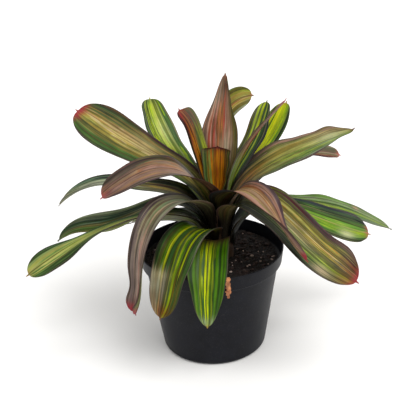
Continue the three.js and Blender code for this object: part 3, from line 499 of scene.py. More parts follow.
# ------------------------------------------------------------------ leaf looks
# Bands run from the left margin to the right one, looking out from the stem, each
# with its share of the width.  "end" are the bands of the outer part of the blade,
# "turn" is where they take over, "under" and "under_end" are those of the lower
# face, and a wash is (colour, strength, middle and half length along, middle and
# half width across).  "crisp" bands keep clear edges; "lines" are the strengths of
# the fine dark, warm and light lines, "tone" is value and saturation, "tip" a colour
# and where it starts, and "base" a colour, where it starts to fade and where it ends.
LOOKS = {
    "leaf_heart": dict(
        bands="deep 4, forest 6, moss 5, olive 5, moss 3, amber 7, rust 3, amber 8, rust 3,"
              "amber 8, rust 2, amber 8, rust 3, moss 4, forest 5, deep 4",
        lines=(0.6, 0.1, 0.1), tip=("maroon", 0.94), base=("brown", 0, 0.12),
        tone=(0.98, 1.15),
        # The maroon wash over the end is partly the red tip and partly painted shade where the end curls
        # over.
        washes=[("maroon", 0.9, 1, 0.08, 0, 2)]),
    "leaf_inner_left": dict(
        bands="ink 3, forest 6, brown 4, rust 6, amber 5, rust 5, amber 5, brown 4, moss 5,"
              "forest 4, lime 8, lime 6, olive 3",
        end="ink 3, plum 6, maroon 5, rust 7, brown 5, orange 6, brown 6, moss 6, forest 5, moss 4",
        turn=(0.6, 0.9), tip=("crimson", 0.95), lines=(0.8, 0.2, 0.1),
        washes=[("crimson", 0.7, 0.94, 0.04, 0.4, 0.5), ("plum", 0.7, 0.9, 0.08, -0.4, 0.5),
                ("bright", 0.8, 0.48, 0.14, -0.8, 0.4)]),
    "leaf_inner_back": dict(
        bands="taupe 3, mauve 6, pink 3, rust 6, rose 4, mauve 4, brown 2, orange 6, rose 5,"
              "taupe 3, pink 6, mauve 5, moss 5, forest 6",
        tip=("rust", 0.96), lines=(0.5, 0.4, 0.1),
        washes=[("taupe", 0.7, 0.95, 0.14, 0, 2), ("silver", 0.5, 0.86, 0.12, 0.6, 0.4),
                # The cream wash low on the blade is a painted highlight.
                ("moss", 0.7, 0.75, 0.2, -0.8, 0.3), ("cream", 0.5, 0.48, 0.1, -0.3, 0.35),
                ("maroon", 0.9, 0.93, 0.03, -0.9, 0.6)]),
    "leaf_back_curled": dict(
        bands="leaf 5, olive 6, lime 7, khaki 5, lime 7, straw 4, orange 2, lime 7, khaki 5,"
              "olive 5, lime 5, sage 3",
        tip=("rose", 0.965), lines=(0.6, 0.5, 0.3), washes=[("orange", 0.4, 0.85, 0.1, 0, 1)]),
    "leaf_inner_right": dict(
        bands="sage 5, leaf 8, lime 5, silver 4, leaf 8, forest 4, gold 6, orange 5, brown 4, plum 3",
        end="sage 5, taupe 6, mauve 8, rose 5, mauve 6, taupe 6, ink 5",
        under="gold 4, brown 3, olive 5, leaf 8, lime 5, leaf 7, sage 4",
        under_end="ink 3, plum 4, taupe 5, mauve 8, rose 5, mauve 7, taupe 4",
        turn=(0.42, 0.62), tip=("crimson", 0.93)),
    "leaf_arching_left": dict(
        bands="plum 5, purple 6, taupe 6, mauve 6, orange 3, tan 4, mauve 5, pink 7, mauve 5,"
              "orange 3, tan 4, mauve 5, taupe 4, orange 2, taupe 6, moss 6, plum 4",
        under="brown 7, plum 5, brown 4, moss 3, gold 4, moss 3, gold 5, lime 4, moss 3,"
              "forest 7, deep 9, black 4",
        base=("black", 0.02, 0.14), tip=("crimson", 0.95), lines=(0.65, 0.3, 0.2), tone=(0.62, 1.05),
        # The pink wash over the crest is a painted highlight.
        washes=[("pink", 0.4, 0.5, 0.12, 0.1, 0.5), ("crimson", 0.7, 0.95, 0.03, 0, 0.6),
                ("plum", 1, 0.92, 0.07, 0.9, 0.7), ("purple", 0.8, 0.85, 0.12, -0.7, 0.6)]),
    "leaf_arching_right": dict(
        bands="plum 4, purple 5, mauve 8, rust 4, orange 3, tan 6, mauve 5, orange 2, tan 6,"
              "olive 2, mauve 6, pink 8, mauve 6, rust 4",
        # Its near-black under bands are partly the lower face's own colour and partly painted shade.
        under="black 8, brown 6, moss 4, black 4, brown 5, moss 4, black 6, ink 4",
        under_end="purple 4, taupe 6, mauve 8, tan 6, mauve 6, purple 5, plum 3",
        turn=(0.5, 0.7), tip=("crimson", 0.92), lines=(0.45, 0.4, 0.1), tone=(0.76, 1.05)),
    "leaf_back_right_short": dict(
        bands="rust 2, olive 3, forest 5, lime 6, forest 3, lime 5, bright 4, forest 5, lime 4,"
              "forest 4, deep 9, ink 5",
        crisp=True, tip=("taupe", 0.97), lines=(0.6, 0.1, 0.2)),
    "leaf_upper_left": dict(
        bands="plum 1, forest 14, green 7, moss 6, olive 7, gold 4, olive 5, khaki 6, gold 4,"
              "straw 4, tan 6, gold 4, olive 6, moss 8, forest 14, deep 4, plum 2",
        tip=("crimson", 0.935), lines=(0.5, 0.4, 0.1), tone=(0.8, 1.08),
        # The tan and straw washes are a painted highlight, a pale patch on the blade.
        washes=[("crimson", 0.8, 0.975, 0.03, 0, 0.5), ("tan", 0.4, 0.5, 0.25, -0.3, 0.35),
                ("straw", 0.45, 0.56, 0.07, -0.35, 0.35),
                ("forest", 0.6, 0.85, 0.12, -0.75, 0.3)]),
    "leaf_upper_right": dict(
        bands="ink 10, deep 7, moss 4, gold 4, rust 4, amber 4, moss 4, rust 4, gold 3, brown 4,"
              "moss 4, olive 4, rust 4, olive 5, moss 6, forest 6",
        end="taupe 4, mauve 3, moss 3, olive 6, gold 4, olive 6, khaki 5, moss 3, lime 4,"
            "olive 5, green 6, lime 4, green 6, sage 6, forest 5, plum 1",
        turn=(0.32, 0.55), tip=("maroon", 0.95), lines=(0.45, 0.2, 0.15), tone=(0.97, 1.05),
        # The silver wash over the end is a painted sheen.
        washes=[("ink", 0.85, 0.3, 0.14, 0.8, 0.5), ("silver", 0.4, 0.85, 0.1, 0, 0.8),
                ("mauve", 0.6, 0.85, 0.12, 0.9, 0.25)]),
    "leaf_back_right": dict(
        bands="forest 5, green 6, lime 6, bright 6, lime 5, yellow 4, bright 7, lime 5, bright 6,"
              "leaf 6, green 7, forest 7, deep 4",
        tip=("crimson", 0.965), lines=(0.8, 0, 0.4), tone=(0.9, 1.4)),
    "leaf_right_narrow": dict(
        bands="taupe 5, sage 6, mauve 6, sage 5, rust 5, plum 4", tip=("rose", 0.95)),
    "leaf_left_folded": dict(
        bands="forest 8, moss 5, olive 3, moss 5, brown 4, moss 5, gold 2, moss 5, brown 4,"
              "moss 5, deep 8, ink 4",
        end="ink 2, forest 5, moss 6, sage 9, silver 5, sage 8, teal 6, ink 2",
        under="sage 6, silver 8, straw 5, silver 8, sage 6",
        turn=(0.45, 0.6), tip=("plum", 0.96)),
    "leaf_hanging_left": dict(
        bands="taupe 5, sage 6, olive 6, forest 4, olive 6, orange 2, moss 6, leaf 4, orange 2,"
              "moss 6, olive 5, taupe 7, plum 3",
        end="purple 6, taupe 6, mauve 6, taupe 5, rust 2, mauve 6, taupe 5, purple 5, taupe 6, plum 4",
        turn=(0.45, 0.7), tip=("crimson", 0.93), tone=(1.03, 0.8),
        washes=[("maroon", 0.95, 0.94, 0.03, 0.2, 0.9), ("sage", 0.6, 0.3, 0.16, 0.2, 0.5)]),
    "leaf_back_left": dict(
        bands="ink 2, forest 11, green 4, bright 5, forest 2, lime 5, leaf 4, lime 6, lime 6,"
              "khaki 5, lime 5, leaf 3, lime 4, green 8, forest 11, deep 3",
        tip=("pink", 0.98), lines=(0.65, 0, 0.3), tone=(1.06, 1.15),
        # The cream wash is a painted sheen on the middle of the blade.
        washes=[("cream", 0.35, 0.72, 0.12, -0.1, 0.35), ("forest", 0.7, 0.98, 0.04, 0, 2)]),
    "leaf_right": dict(
        bands="ink 2, forest 9, deep 8, green 6, leaf 7, khaki 4, green 4, lime 6, leaf 5,"
              "leaf 4, green 6, forest 13, deep 4",
        tip=("rose", 0.955), lines=(0.7, 0, 0.3), tone=(0.94, 1.15),
        # The cream wash near the tip is a painted highlight.
        washes=[("cream", 0.6, 0.85, 0.05, -0.4, 0.3)]),
    "leaf_front_right": dict(
        bands="maroon 2, plum 4, moss 7, olive 5, khaki 4, orange 2, khaki 5, olive 4, gold 3,"
              "tan 3, straw 5, teal 4, khaki 5, green 5, lime 4, green 8, forest 14, deep 8",
        tip=("crimson", 0.94), lines=(0.7, 0.2, 0.3), tone=(0.86, 1.15),
        # The beige and cream washes are painted highlights.
        washes=[("rust", 0.75, 0.95, 0.07, 0, 1.2), ("beige", 0.8, 0.83, 0.05, -0.65, 0.3),
                ("cream", 0.35, 0.62, 0.14, -0.1, 0.25),
                ("maroon", 0.8, 0.96, 0.09, 0.6, 0.7), ("plum", 0.8, 0.78, 0.2, 0.95, 0.2),
                # The deep green wash over the right half of the lower blade is a painted shadow cast by
                # leaf_arching_right.
                ("deep", 0.9, 0.35, 0.3, -0.75, 0.7)]),
    "leaf_front_left": dict(
        bands="sage 1, forest 12, deep 6, bright 4, forest 7, green 5, lime 4, forest 6, lime 3,"
              "forest 14, bright 4, green 10, forest 12, deep 2",
        end="forest 10, moss 8, forest 5, gold 3, moss 6, lime 3, forest 6, olive 4, moss 6,"
            "taupe 7, tan 5, sage 6, beige 8, beige 8, taupe 3",
        turn=(0.66, 0.76), crisp=True, tip=("rust", 0.97), lines=(0.5, 0.2, 0.1), tone=(0.72, 1.25),
        # The silver and cream washes are painted highlight on the pale end of the blade.
        washes=[("rust", 0.6, 0.95, 0.04, 0.1, 1), ("silver", 0.8, 0.8, 0.08, -0.6, 0.45),
                ("cream", 0.6, 0.73, 0.03, -0.6, 0.4), ("taupe", 0.6, 0.86, 0.05, -0.9, 0.3)]),
    "leaf_left_twisted": dict(
        bands="sage 4, lime 4, olive 5, green 8, forest 8, deep 6, teal 6, sage 4",
        tip=("ink", 0.97), tone=(0.8, 1.1)),
    "leaf_right_low": dict(
        bands="green 4, leaf 6, sage 4, leaf 6, green 5, lime 3, green 6, leaf 6, green 6, forest 5",
        tip=("ink", 0.965), washes=[("pink", 0.8, 0.78, 0.02, 0.7, 0.2)]),
    "leaf_left_low": dict(
        bands="deep 2, forest 8, green 9, leaf 6, khaki 5, lime 5, khaki 3, lime 5, khaki 5,"
              "leaf 7, green 8, forest 6",
        tip=("rust", 0.965), lines=(0.7, 0.1, 0.3), tone=(0.76, 1.0)),
    "leaf_front": dict(
        bands="forest 4, green 12, forest 6, green 8, forest 6, lime 4, green 6, bright 5, forest 3,"
              "bright 5, forest 8, lime 4, forest 6, green 10, forest 8, green 6",
        crisp=True, tip=("rust", 0.965), lines=(0.6, 0, 0.1), base=("brown", 0.2, 0.42),
        tone=(0.97, 1.25),
        washes=[("sage", 0.85, 0.955, 0.05, 0, 2)]),
    "leaf_back_low": dict(
        bands="ink 2, forest 10, green 5, lime 6, khaki 4, green 3, lime 6, olive 4, lime 5,"
              "green 6, forest 10, deep 3",
        tip=("crimson", 0.96)),
    "leaf_back_left_low": dict(
        bands="ink 2, forest 9, lime 5, green 5, gold 4, olive 5, lime 6, green 5, lime 4,"
              "green 6, forest 10, deep 3",
        tip=("crimson", 0.96)),
}
LOOK_DEFAULTS = dict(
    end=None, under_end=None, turn=(0.4, 0.6), crisp=False, lines=(0.6, 0.2, 0.2), washes=[],
    # The default base is near black: partly the sheath's colour, partly painted shade of the crown.
    base=("black", 0.08, 0.3), tone=(0.85, 1.1),
    # The under bands are darker and browner than the upper ones: partly the lower face's own duller
    # colour, partly painted shade.
    under="brown 3, moss 6, olive 6, brown 5, moss 6, taupe 5, olive 6, brown 6, moss 6, plum 3")
STRIPE_HOLD = 0.6         # 0: the stripes meet at the tip, 1: they run out at the margins
BAND_CORE = 0.3           # share of a crisp band's width, each way, that has its full colour
TIP_LENGTH = 0.045        # share of the length over which the tip's colour comes in
THREAD_COLOUR = "585c30"


def band_stops(text, crisp):
    """Stops of a colour ramp for a text of "colour share, colour share, ..."."""
    bands = [entry.split() for entry in text.split(",")]
    total = sum(float(share) for _, share in bands)
    stops = []
    start = 0
    for name, share in bands:
        width = float(share) / total
        middle = start + width / 2
        core = BAND_CORE * width if crisp else 0
        stops.append((middle - core, linear(name)))
        if core:
            stops.append((middle + core, linear(name)))
        start += width
    return stops


def leaf_material(leaf, look, seed):
    """Bands across the blade, fine lines, washes, margins, base and tip."""
    finish = Finish(leaf["name"])
    share, across, stripe, face = (finish.attribute(name)
                                   for name in ("along", "across", "stripe", "face"))
    x = finish.times(stripe, leaf["width"] / 2)
    y = finish.times(share, leaf["length"])

    def grain(across_scale, along_scale, offset, detail=2.0):
        """Noise drawn out along the leaf; scales are per millimetre."""
        point = finish.point(finish.times(x, across_scale), finish.times(y, along_scale),
                             seed * 7.3 + offset)
        return finish.noise(point, detail=detail)

    def bell(value, middle, half_length):
        """1 at the middle, with a smooth fall to both sides."""
        offset = finish.math("DIVIDE", finish.math("SUBTRACT", value, middle), half_length)
        return finish.math("EXPONENT", finish.times(finish.math("POWER", offset, 2), -1))

    def jittered(value, amount, noise_value):
        return finish.add(value, finish.range(noise_value, -amount, amount))

    slow = grain(0.06, 0.016, 0)
    fibres = grain(1.3, 0.014, 11, 3)
    cloud = grain(0.12, 0.05, 37, 4)
    speck = grain(1.1, 0.9, 41, 3)
    threads = grain(0.4, 0.004, 23, 5)
    streaks = grain(0.3, 0.005, 71, 3)
    loose = grain(0.5, 0.012, 83, 3)
    patches = grain(0.16, 0.022, 97, 3)

    fray, stray = (0.04, 0.08) if look["crisp"] else (0.13, 0.42)
    wander = finish.add(finish.range(slow, -0.06, 0.06), finish.range(streaks, -fray, fray))
    blurred = finish.times(finish.step(patches, 0.38, 0.58), finish.range(loose, -stray, stray))
    place = finish.math("MULTIPLY_ADD", finish.add(stripe, finish.add(wander, blurred)), -0.5, 0.5)
    turned = finish.step(jittered(share, 0.08, fibres), *look["turn"])

    def banded(bands, end):
        colour = finish.ramp(place, band_stops(bands, look["crisp"]))
        if not end:
            return colour
        return finish.mix(turned, colour, finish.ramp(place, band_stops(end, look["crisp"])))

    upper = banded(look["bands"], look["end"])
    for colour, strength, middle, length, centre, width in look["washes"]:
        weight = finish.times(bell(share, middle, length), bell(across, centre, width))
        weight = finish.times(weight, finish.range(fibres, strength * 0.5, strength * 1.3))
        upper = finish.mix(weight, upper, linear(colour))
    colour = finish.mix(face, banded(look["under"], look["under_end"]), upper)

    dark, warm, light = look["lines"]
    kinds = ((0.6, 0.006, 61, warm, "orange"), (0.7, 0.006, 53, light, "straw"))
    for across_scale, along_scale, offset, strength, name in kinds:
        lines = finish.step(grain(across_scale, along_scale, offset, 3), 0.54, 0.64)
        colour = finish.mix(finish.times(lines, strength), colour, linear(name))
    lines = finish.step(threads, 0.5, 0.55)
    colour = finish.mix(finish.times(lines, dark), colour, linear(THREAD_COLOUR), "MULTIPLY")
    value, saturation = look["tone"]
    colour = finish.shade(colour, finish.range(cloud, 0.75 * value, 1.25 * value), saturation)
    colour = finish.mix(finish.times(finish.step(speck, 0.62, 0.7), 0.25), colour, linear("deep"))

    outward = jittered(finish.math("ABSOLUTE", across), 0.02, slow)
    edge = finish.times(finish.step(outward, 0.94, 0.99), 0.7)
    colour = finish.mix(edge, colour, linear("plum"))
    # The base colour darkens the blade inside the crown: partly the sheath's own dark colour, partly
    # painted shade of the crown.
    base_colour, base_from, base_to = look["base"]
    base = finish.step(jittered(share, 0.04, fibres), base_to, base_from)
    colour = finish.mix(finish.times(base, 0.93), colour, linear(base_colour))
    tip_colour, tip_from = look["tip"]
    reddening = finish.step(jittered(share, 0.02, fibres), tip_from, tip_from + TIP_LENGTH)
    colour = finish.mix(finish.times(reddening, 0.92), colour, linear(tip_colour))

    finish.set(Base_Color=colour, Roughness=finish.range(cloud, 0.36, 0.52), Specular_IOR_Level=0.16)
    fine = finish.add(finish.times(threads, 0.5), finish.times(speck, 0.3))
    finish.bump(finish.add(finish.times(fibres, 0.8), fine), 0.35, 0.5)
    return finish.material


def add_leaf(leaf, look, seed):
    rows = np.concatenate([np.linspace(0, END_FROM, BLADE_ROWS, endpoint=False),
                           np.linspace(END_FROM, 1, END_ROWS)])
    even = np.linspace(-1, 1, COLUMNS)
    columns = (1 - MARGIN_DENSITY) * even + MARGIN_DENSITY * np.sin(even * math.pi / 2)
    upper = leaf_surface(leaf, rows, columns, 1, seed)
    lower = leaf_surface(leaf, rows, columns, -1, seed)[:, 1:-1]
    n, m = len(rows), len(columns)
    points = np.vstack([upper.reshape(-1, 3), lower.reshape(-1, 3)])
    above = np.arange(n * m).reshape(n, m)
    below = above.copy()
    below[:, 1:-1] = n * m + np.arange(n * (m - 2)).reshape(n, m - 2)
    faces = sheet_faces(above, below)
    for row, turned in ((0, False), (n - 1, True)):
        for j in range(m - 1):
            ring = [above[row, j], above[row, j + 1], below[row, j + 1], below[row, j]]
            loop = list(dict.fromkeys(int(k) for k in ring))
            faces.append(loop[::-1] if turned else loop)
    piece = add_piece(leaf["name"] + "_blade", points, faces, leaf_material(leaf, look, seed),
                      leaf["name"])
    inner = columns[1:-1]
    parallel = end_rounding(leaf, rows)[:, None] ** STRIPE_HOLD
    add_values(piece,
               stripe=np.concatenate([(parallel * columns).ravel(), (parallel * inner).ravel()]),
               along=np.concatenate([np.repeat(rows, m), np.repeat(rows, m - 2)]),
               across=np.concatenate([np.tile(columns, n), np.tile(inner, n)]),
               face=np.concatenate([np.ones(n * m), np.zeros(n * (m - 2))]))


for index, entry in enumerate(LEAVES):
    add_leaf({**LEAF_DEFAULTS, **entry}, {**LOOK_DEFAULTS, **LOOKS[entry["name"]]}, index + 1)

# ------------------------------------------------------------------ grained materials
def grained(name, dark, light, scale, detail, roughness):
    """A new finish with its object coordinates, its grain and the colour that follows it."""
    finish = Finish(name)
    place = finish.object_point()
    grain = finish.noise(place, scale, detail, roughness)
    return finish, place, grain, finish.mix(finish.range(grain, 0, 1), linear(dark), linear(light))


# ------------------------------------------------------------------ pot
POT_HEIGHT = 122
POT_BASE_RADIUS = 60
POT_CORNER = 5
POT_RIM_RADIUS = 82.5
RIM_BAND_HEIGHT = 17
RIM_BAND_STEP = 4
RIM_TAPER = 2
BAND_EDGE = 1
BAND_CORNER = 0.6         # radius of the band's lower edge
BAND_ROUND = 0.4          # radius where the wall meets the band
LIP_RADIUS = 0.7
POT_WALL = 1.4
POT_FLOOR = 2
DRAIN_COUNT = 6
DRAIN_RADIUS = 5
DRAIN_CIRCLE = 42
DRAIN_SIDES = 32
POT_SIDES = 192

band_bottom = POT_HEIGHT - RIM_BAND_HEIGHT
band_radius = POT_RIM_RADIUS - RIM_TAPER
wall_top_radius = band_radius - RIM_BAND_STEP


def wall_radius(height):
    """Outer radius of the tapered wall below the rim band."""
    return POT_BASE_RADIUS + (wall_top_radius - POT_BASE_RADIUS) * height / band_bottom


floor_radius = wall_radius(POT_FLOOR) - POT_WALL - 1


def inside_radius(height):
    top = band_bottom + POT_WALL
    share = (min(height, top) - POT_FLOOR) / (top - POT_FLOOR)
    return floor_radius + (wall_top_radius - POT_WALL - floor_radius) * share


def arc_points(radius, middle_r, middle_z, start, end, count):
    """Profile points on an arc; degrees run from outward towards the top."""
    angles = np.radians(np.linspace(start, end, count))
    return [(middle_r + radius * math.cos(a), middle_z + radius * math.sin(a)) for a in angles]


def line_points(start, end, count):
    """Points between two profile points, without the two themselves."""
    shares = np.linspace(0, 1, count + 2)[1:-1]
    return [tuple(np.array(start) * (1 - s) + np.array(end) * s) for s in shares]


def revolved(profile, sides, centre_x=0.0):
    """Points of a profile of (radius, height) turned about a vertical axis."""
    angles = 2 * math.pi * np.arange(sides) / sides
    profile = np.array(profile)
    return np.stack([centre_x + profile[:, :1] * np.cos(angles), profile[:, :1] * np.sin(angles),
                     profile[:, 1:] + 0 * angles], -1).reshape(-1, 3)


def capped_lathe(profile, sides, centre_x=0.0):
    """A closed lathe body whose profile runs from the axis to the axis, upwards outside."""
    points = revolved(profile[1:-1], sides, centre_x)
    rows = len(profile) - 2
    faces = ring_faces(rows, sides, flip=True)
    first, last = len(points), len(points) + 1
    ends = [(centre_x, 0, profile[0][1]), (centre_x, 0, profile[-1][1])]
    for k in range(sides):
        after = (k + 1) % sides
        faces.append((first, after, k))
        faces.append((last, (rows - 1) * sides + k, (rows - 1) * sides + after))
    return np.vstack([points, ends]), faces


def pot_material():
    finish, place, scuffs, colour = grained("pot_plastic", "0a0b10", "14151c", 60, 6, 0.65)
    broad = finish.noise(place, 9, 3)
    dust = finish.noise(place, 900, 2)
    colour = finish.mix(finish.times(finish.step(dust, 0.6, 0.72), 0.12), colour, linear("6f6a62"))
    finish.set(Base_Color=colour, Specular_IOR_Level=0.12,
               Roughness=finish.add(finish.range(broad, 0.36, 0.46), finish.range(scuffs, -0.03, 0.06)))
    pores = finish.noise(place, 1400, 2)
    finish.bump(finish.add(finish.times(pores, 0.4), finish.times(broad, 3)), 0.12, 0.4)
    return finish.material


def drill_drains(pot):
    """Cuts the ring of drain holes through the pot's floor."""
    drills = []
    for i in range(DRAIN_COUNT):
        angle = (i + 0.5) * 2 * math.pi / DRAIN_COUNT
        centre = (DRAIN_CIRCLE * MM * math.cos(angle), DRAIN_CIRCLE * MM * math.sin(angle), 0)
        bpy.ops.mesh.primitive_cylinder_add(vertices=DRAIN_SIDES, radius=DRAIN_RADIUS * MM,
                                            depth=4 * POT_FLOOR * MM, location=centre)
        drills.append(bpy.context.object)
    for drill in drills:
        cut = pot.modifiers.new("drain", "BOOLEAN")
        cut.operation = "DIFFERENCE"
        cut.object = drill
    bpy.context.view_layer.update()
    evaluated = pot.evaluated_get(bpy.context.evaluated_depsgraph_get())
    shape = bpy.data.meshes.new_from_object(evaluated)
    pot.modifiers.clear()
    pot.data = shape
    for drill in drills:
        bpy.data.objects.remove(drill)


def add_pot():
    corner_radius = wall_radius(POT_CORNER) - POT_CORNER
    corner = arc_points(POT_CORNER, corner_radius, POT_CORNER, -90, 0, 12)
    lip = arc_points(LIP_RADIUS, POT_RIM_RADIUS - LIP_RADIUS, POT_HEIGHT - LIP_RADIUS, 0, 180, 12)
    under_band = (wall_top_radius, band_bottom - BAND_ROUND)
    band_foot = (band_radius, band_bottom + BAND_EDGE)
    band_round = arc_points(BAND_CORNER, band_radius - BAND_CORNER, band_bottom + BAND_EDGE, -70, 0, 5)
    inner_foot = (wall_top_radius - POT_WALL, band_bottom + POT_WALL)
    inner_edge = (band_radius - POT_WALL, band_bottom + BAND_EDGE + POT_WALL)
    floor_edge = (floor_radius, POT_FLOOR)
    profile = [(0, 0), *line_points((0, 0), corner[0], 6), *corner,
               *line_points(corner[-1], under_band, 24), under_band,
               (wall_top_radius + BAND_ROUND, band_bottom), *band_round,
               *line_points(band_foot, lip[0], 6), *lip,
               *line_points(lip[-1], inner_edge, 5), inner_edge, inner_foot,
               *line_points(inner_foot, floor_edge, 10), floor_edge,
               *line_points(floor_edge, (0, POT_FLOOR), 4), (0, POT_FLOOR)]
    points, faces = capped_lathe(profile, POT_SIDES)
    pot = add_piece("pot_shell", points, faces, pot_material(), "pot")
    drill_drains(pot)
    pot.data.shade_smooth()
    pot.data.set_sharp_from_angle(angle=math.radians(40))


add_pot()

# ------------------------------------------------------------------ stem
STEM_FOOT = 72
STEM_FOOT_RADIUS = 11
STEM_FOOT_EDGE = 2
STEM_WIDE_FROM = 96
STEM_GAP = 0.4
STEM_SIDES = 96
SCAR_SPACING = 3.4        # one ring of leaf scars for each ring of leaves
SCAR_DEPTH = 0.3


def stem_radius(height):
    ring = min((ROOT_TOP - height) / ROOT_DROP, OUTER_RING)
    return RING_RADIUS + RING_STEP * ring - LEAF_THICKNESS / 2 - STEM_GAP


def stem_material():
    finish, _, grain, colour = grained("stem", "2a1a10", "5a4028", 400, 6, 0.7)
    finish.set(Base_Color=colour, Roughness=finish.range(grain, 0.7, 0.95))
    finish.bump(grain, 0.8, 0.8)
    return finish.material


def scarred(radius, height):
    """A profile point of the stem, sunk in where it lies in a leaf scar."""
    return radius - SCAR_DEPTH * math.sin(math.pi * height / SCAR_SPACING) ** 2, height


def add_stem():
    widest = stem_radius(0)
    shoulder = ROOT_TOP - ROOT_DROP * OUTER_RING
    profile = [(0, STEM_FOOT), (STEM_FOOT_RADIUS, STEM_FOOT + STEM_FOOT_EDGE), (widest, STEM_WIDE_FROM)]
    profile += [scarred(widest, height) for height in np.linspace(STEM_WIDE_FROM, shoulder, 20)[1:]]
    profile += [scarred(stem_radius(height), height) for height in np.linspace(shoulder, ROOT_TOP, 60)[1:]]
    profile.append((0, ROOT_TOP + 1))
    points, faces = capped_lathe(profile, STEM_SIDES, PLANT_X)
    add_piece("stem_core", points, faces, stem_material(), "stem")


add_stem()

# ------------------------------------------------------------------ potting mix
CLEARANCE = 0.3
SOIL_LEVEL = 110
SOIL_BUMP = 1.5
SOIL_SIDES = 240
SOIL_RINGS = 64
CRUMB_HEIGHT = 1.3
BIT_SEED = 5
PERLITE_COUNT = 70
PERLITE_SIZES = (0.6, 1.9)
PERLITE_FLATNESS = 0.6
BARK_COUNT = 260
BARK_SIZES = (1.2, 3.6)
BARK_FLATNESS = 0.45
BIT_EDGE_GAP = 3          # bits keep this far from the pot's wall
BIT_STEM_GAP = 4
BIT_ROUGHNESS = 0.35      # as a share of the bit's size
BIT_TILT = 0.5            # radians
BIT_RAISED = 0.3          # share of its height that a bit stands higher than half sunk


def soil_height(x, y):
    coarse = math.sin(0.19 * x + 1.2) * math.cos(0.23 * y - 0.6)
    fine = math.sin(0.47 * x - 0.31 * y) * math.cos(0.41 * y + 0.2 * x)
    crumbs = noise.fractal(Vector((x, y, 0)) * 0.35, 0.9, 2.1, 5)
    return SOIL_LEVEL + SOIL_BUMP * (0.6 * coarse + 0.4 * fine) + CRUMB_HEIGHT * crumbs


def soil_material():
    finish, place, crumbs, colour = grained("potting_mix", "060403", "1f140e", 350, 8, 0.75)
    patches = finish.noise(place, 60, 4)
    lumps = finish.cells(place, 420)
    colour = finish.mix(finish.times(finish.step(patches, 0.5, 0.65), 0.4), colour, linear("321a16"))
    finish.set(Base_Color=colour, Roughness=finish.range(crumbs, 0.8, 1.0))
    finish.bump(finish.add(crumbs, finish.times(lumps, 0.5)), 1.5, 1.0)
    return finish.material


def add_soil():
    hole = stem_radius(0) + CLEARANCE
    outer = inside_radius(SOIL_LEVEL) - CLEARANCE
    bottom = POT_FLOOR + CLEARANCE
    shoulder = band_bottom - 1
    rings = [(hole, PLANT_X, lambda x, y: STEM_FOOT - CLEARANCE)]
    for i in range(SOIL_RINGS + 1):
        share = i / SOIL_RINGS
        rings.append((hole * (1 - share) + outer * share, PLANT_X * (1 - share), soil_height))
    rings.append((inside_radius(shoulder) - CLEARANCE, 0, lambda x, y: shoulder))
    rings.append((inside_radius(bottom) - CLEARANCE, 0, lambda x, y: bottom))
    points = []
    for radius, centre, height in rings:
        for k in range(SOIL_SIDES):
            angle = 2 * math.pi * k / SOIL_SIDES
            x = centre + radius * math.cos(angle)
            y = radius * math.sin(angle)
            points.append((x, y, height(x, y)))
    faces = ring_faces(len(rings), SOIL_SIDES)
    last = (len(rings) - 1) * SOIL_SIDES
    faces.append(tuple(range(SOIL_SIDES))[::-1])
    faces.append(tuple(range(last, last + SOIL_SIDES)))
    add_piece("soil_mix", points, faces, soil_material(), "soil")


def bit_material(name, dark, light, scale, roughness):
    finish, place, grain, colour = grained(name, dark, light, scale, 5, 0.7)
    broad = finish.noise(place, 120, 2)
    colour = finish.shade(colour, finish.range(broad, 0.7, 1.2))
    finish.set(Base_Color=colour, Roughness=roughness)
    finish.bump(grain, 0.4, 0.7)
    return finish.material


def add_bits(name, material, count, sizes, flatness, rng):
    """Small irregular stones or chips, half sunk into the mix."""
    bpy.ops.mesh.primitive_ico_sphere_add(subdivisions=2, radius=1)
    ball = bpy.context.object
    shape = np.array([v.co for v in ball.data.vertices])
    triangles = [tuple(f.vertices) for f in ball.data.polygons]
    bpy.data.objects.remove(ball)
    points = []
    faces = []
    while len(points) < count * len(shape):
        angle = rng.uniform(0, 2 * math.pi)
        radius = math.sqrt(rng.uniform(0.06, 0.98)) * (inside_radius(SOIL_LEVEL) - BIT_EDGE_GAP)
        x, y = radius * math.cos(angle), radius * math.sin(angle)
        if math.hypot(x - PLANT_X, y) < stem_radius(0) + BIT_STEM_GAP:
            continue
        size = rng.uniform(*sizes)
        scale = size * np.array([rng.uniform(0.7, 1.4), rng.uniform(0.6, 1.0), flatness])
        shift = Vector((rng.uniform(0, 100), 0, 0))
        rough = np.array([1 + BIT_ROUGHNESS * noise.noise(Vector(p) * 1.3 + shift) for p in shape])
        turn = Matrix.Rotation(rng.uniform(0, 2 * math.pi), 3, "Z")
        turn = turn @ Matrix.Rotation(rng.uniform(-BIT_TILT, BIT_TILT), 3, "X")
        corners = (shape * rough[:, None] * scale) @ np.array(turn).T
        first = len(points)
        points.extend((corners + [x, y, soil_height(x, y) + size * flatness * BIT_RAISED]).tolist())
        faces.extend(tuple(first + k for k in triangle) for triangle in triangles)
    add_piece(name, points, faces, material)


add_soil()
bit_rng = random.Random(BIT_SEED)
add_bits("soil_perlite", bit_material("perlite", "94786c", "d0bcb0", 700, 0.85),
         PERLITE_COUNT, PERLITE_SIZES, PERLITE_FLATNESS, bit_rng)
add_bits("soil_bark", bit_material("bark_chips", "120a07", "3c2318", 500, 0.8),
         BARK_COUNT, BARK_SIZES, BARK_FLATNESS, bit_rng)

# ------------------------------------------------------------------ withered scrap
SCRAP_AZIMUTH = 281
SCRAP_WIDTH = 5
SCRAP_THICKNESS = 0.5     # finer than the solids' 0.8
SCRAP_LIFT = 0.7          # from the lip to the middle of the scrap
SCRAP_DROP = 24
SCRAP_INSIDE = 8
SCRAP_ROWS = 90
SCRAP_COLUMNS = 14
SCRAP_SEED = 3
TEAR_DEPTH = 0.6          # of the torn margins, as a share of the half width
CRINKLE_HEIGHT = 0.45
CRINKLE_FROM = 0.45       # share of the strip's length, past the lip
CRINKLE_GROWTH = 0.2      # share over which the crinkles grow
NARROW_FROM = 0.9         # share of the length from which the strip narrows
NARROW_SHARE = 0.25       # of the width that is left at its end


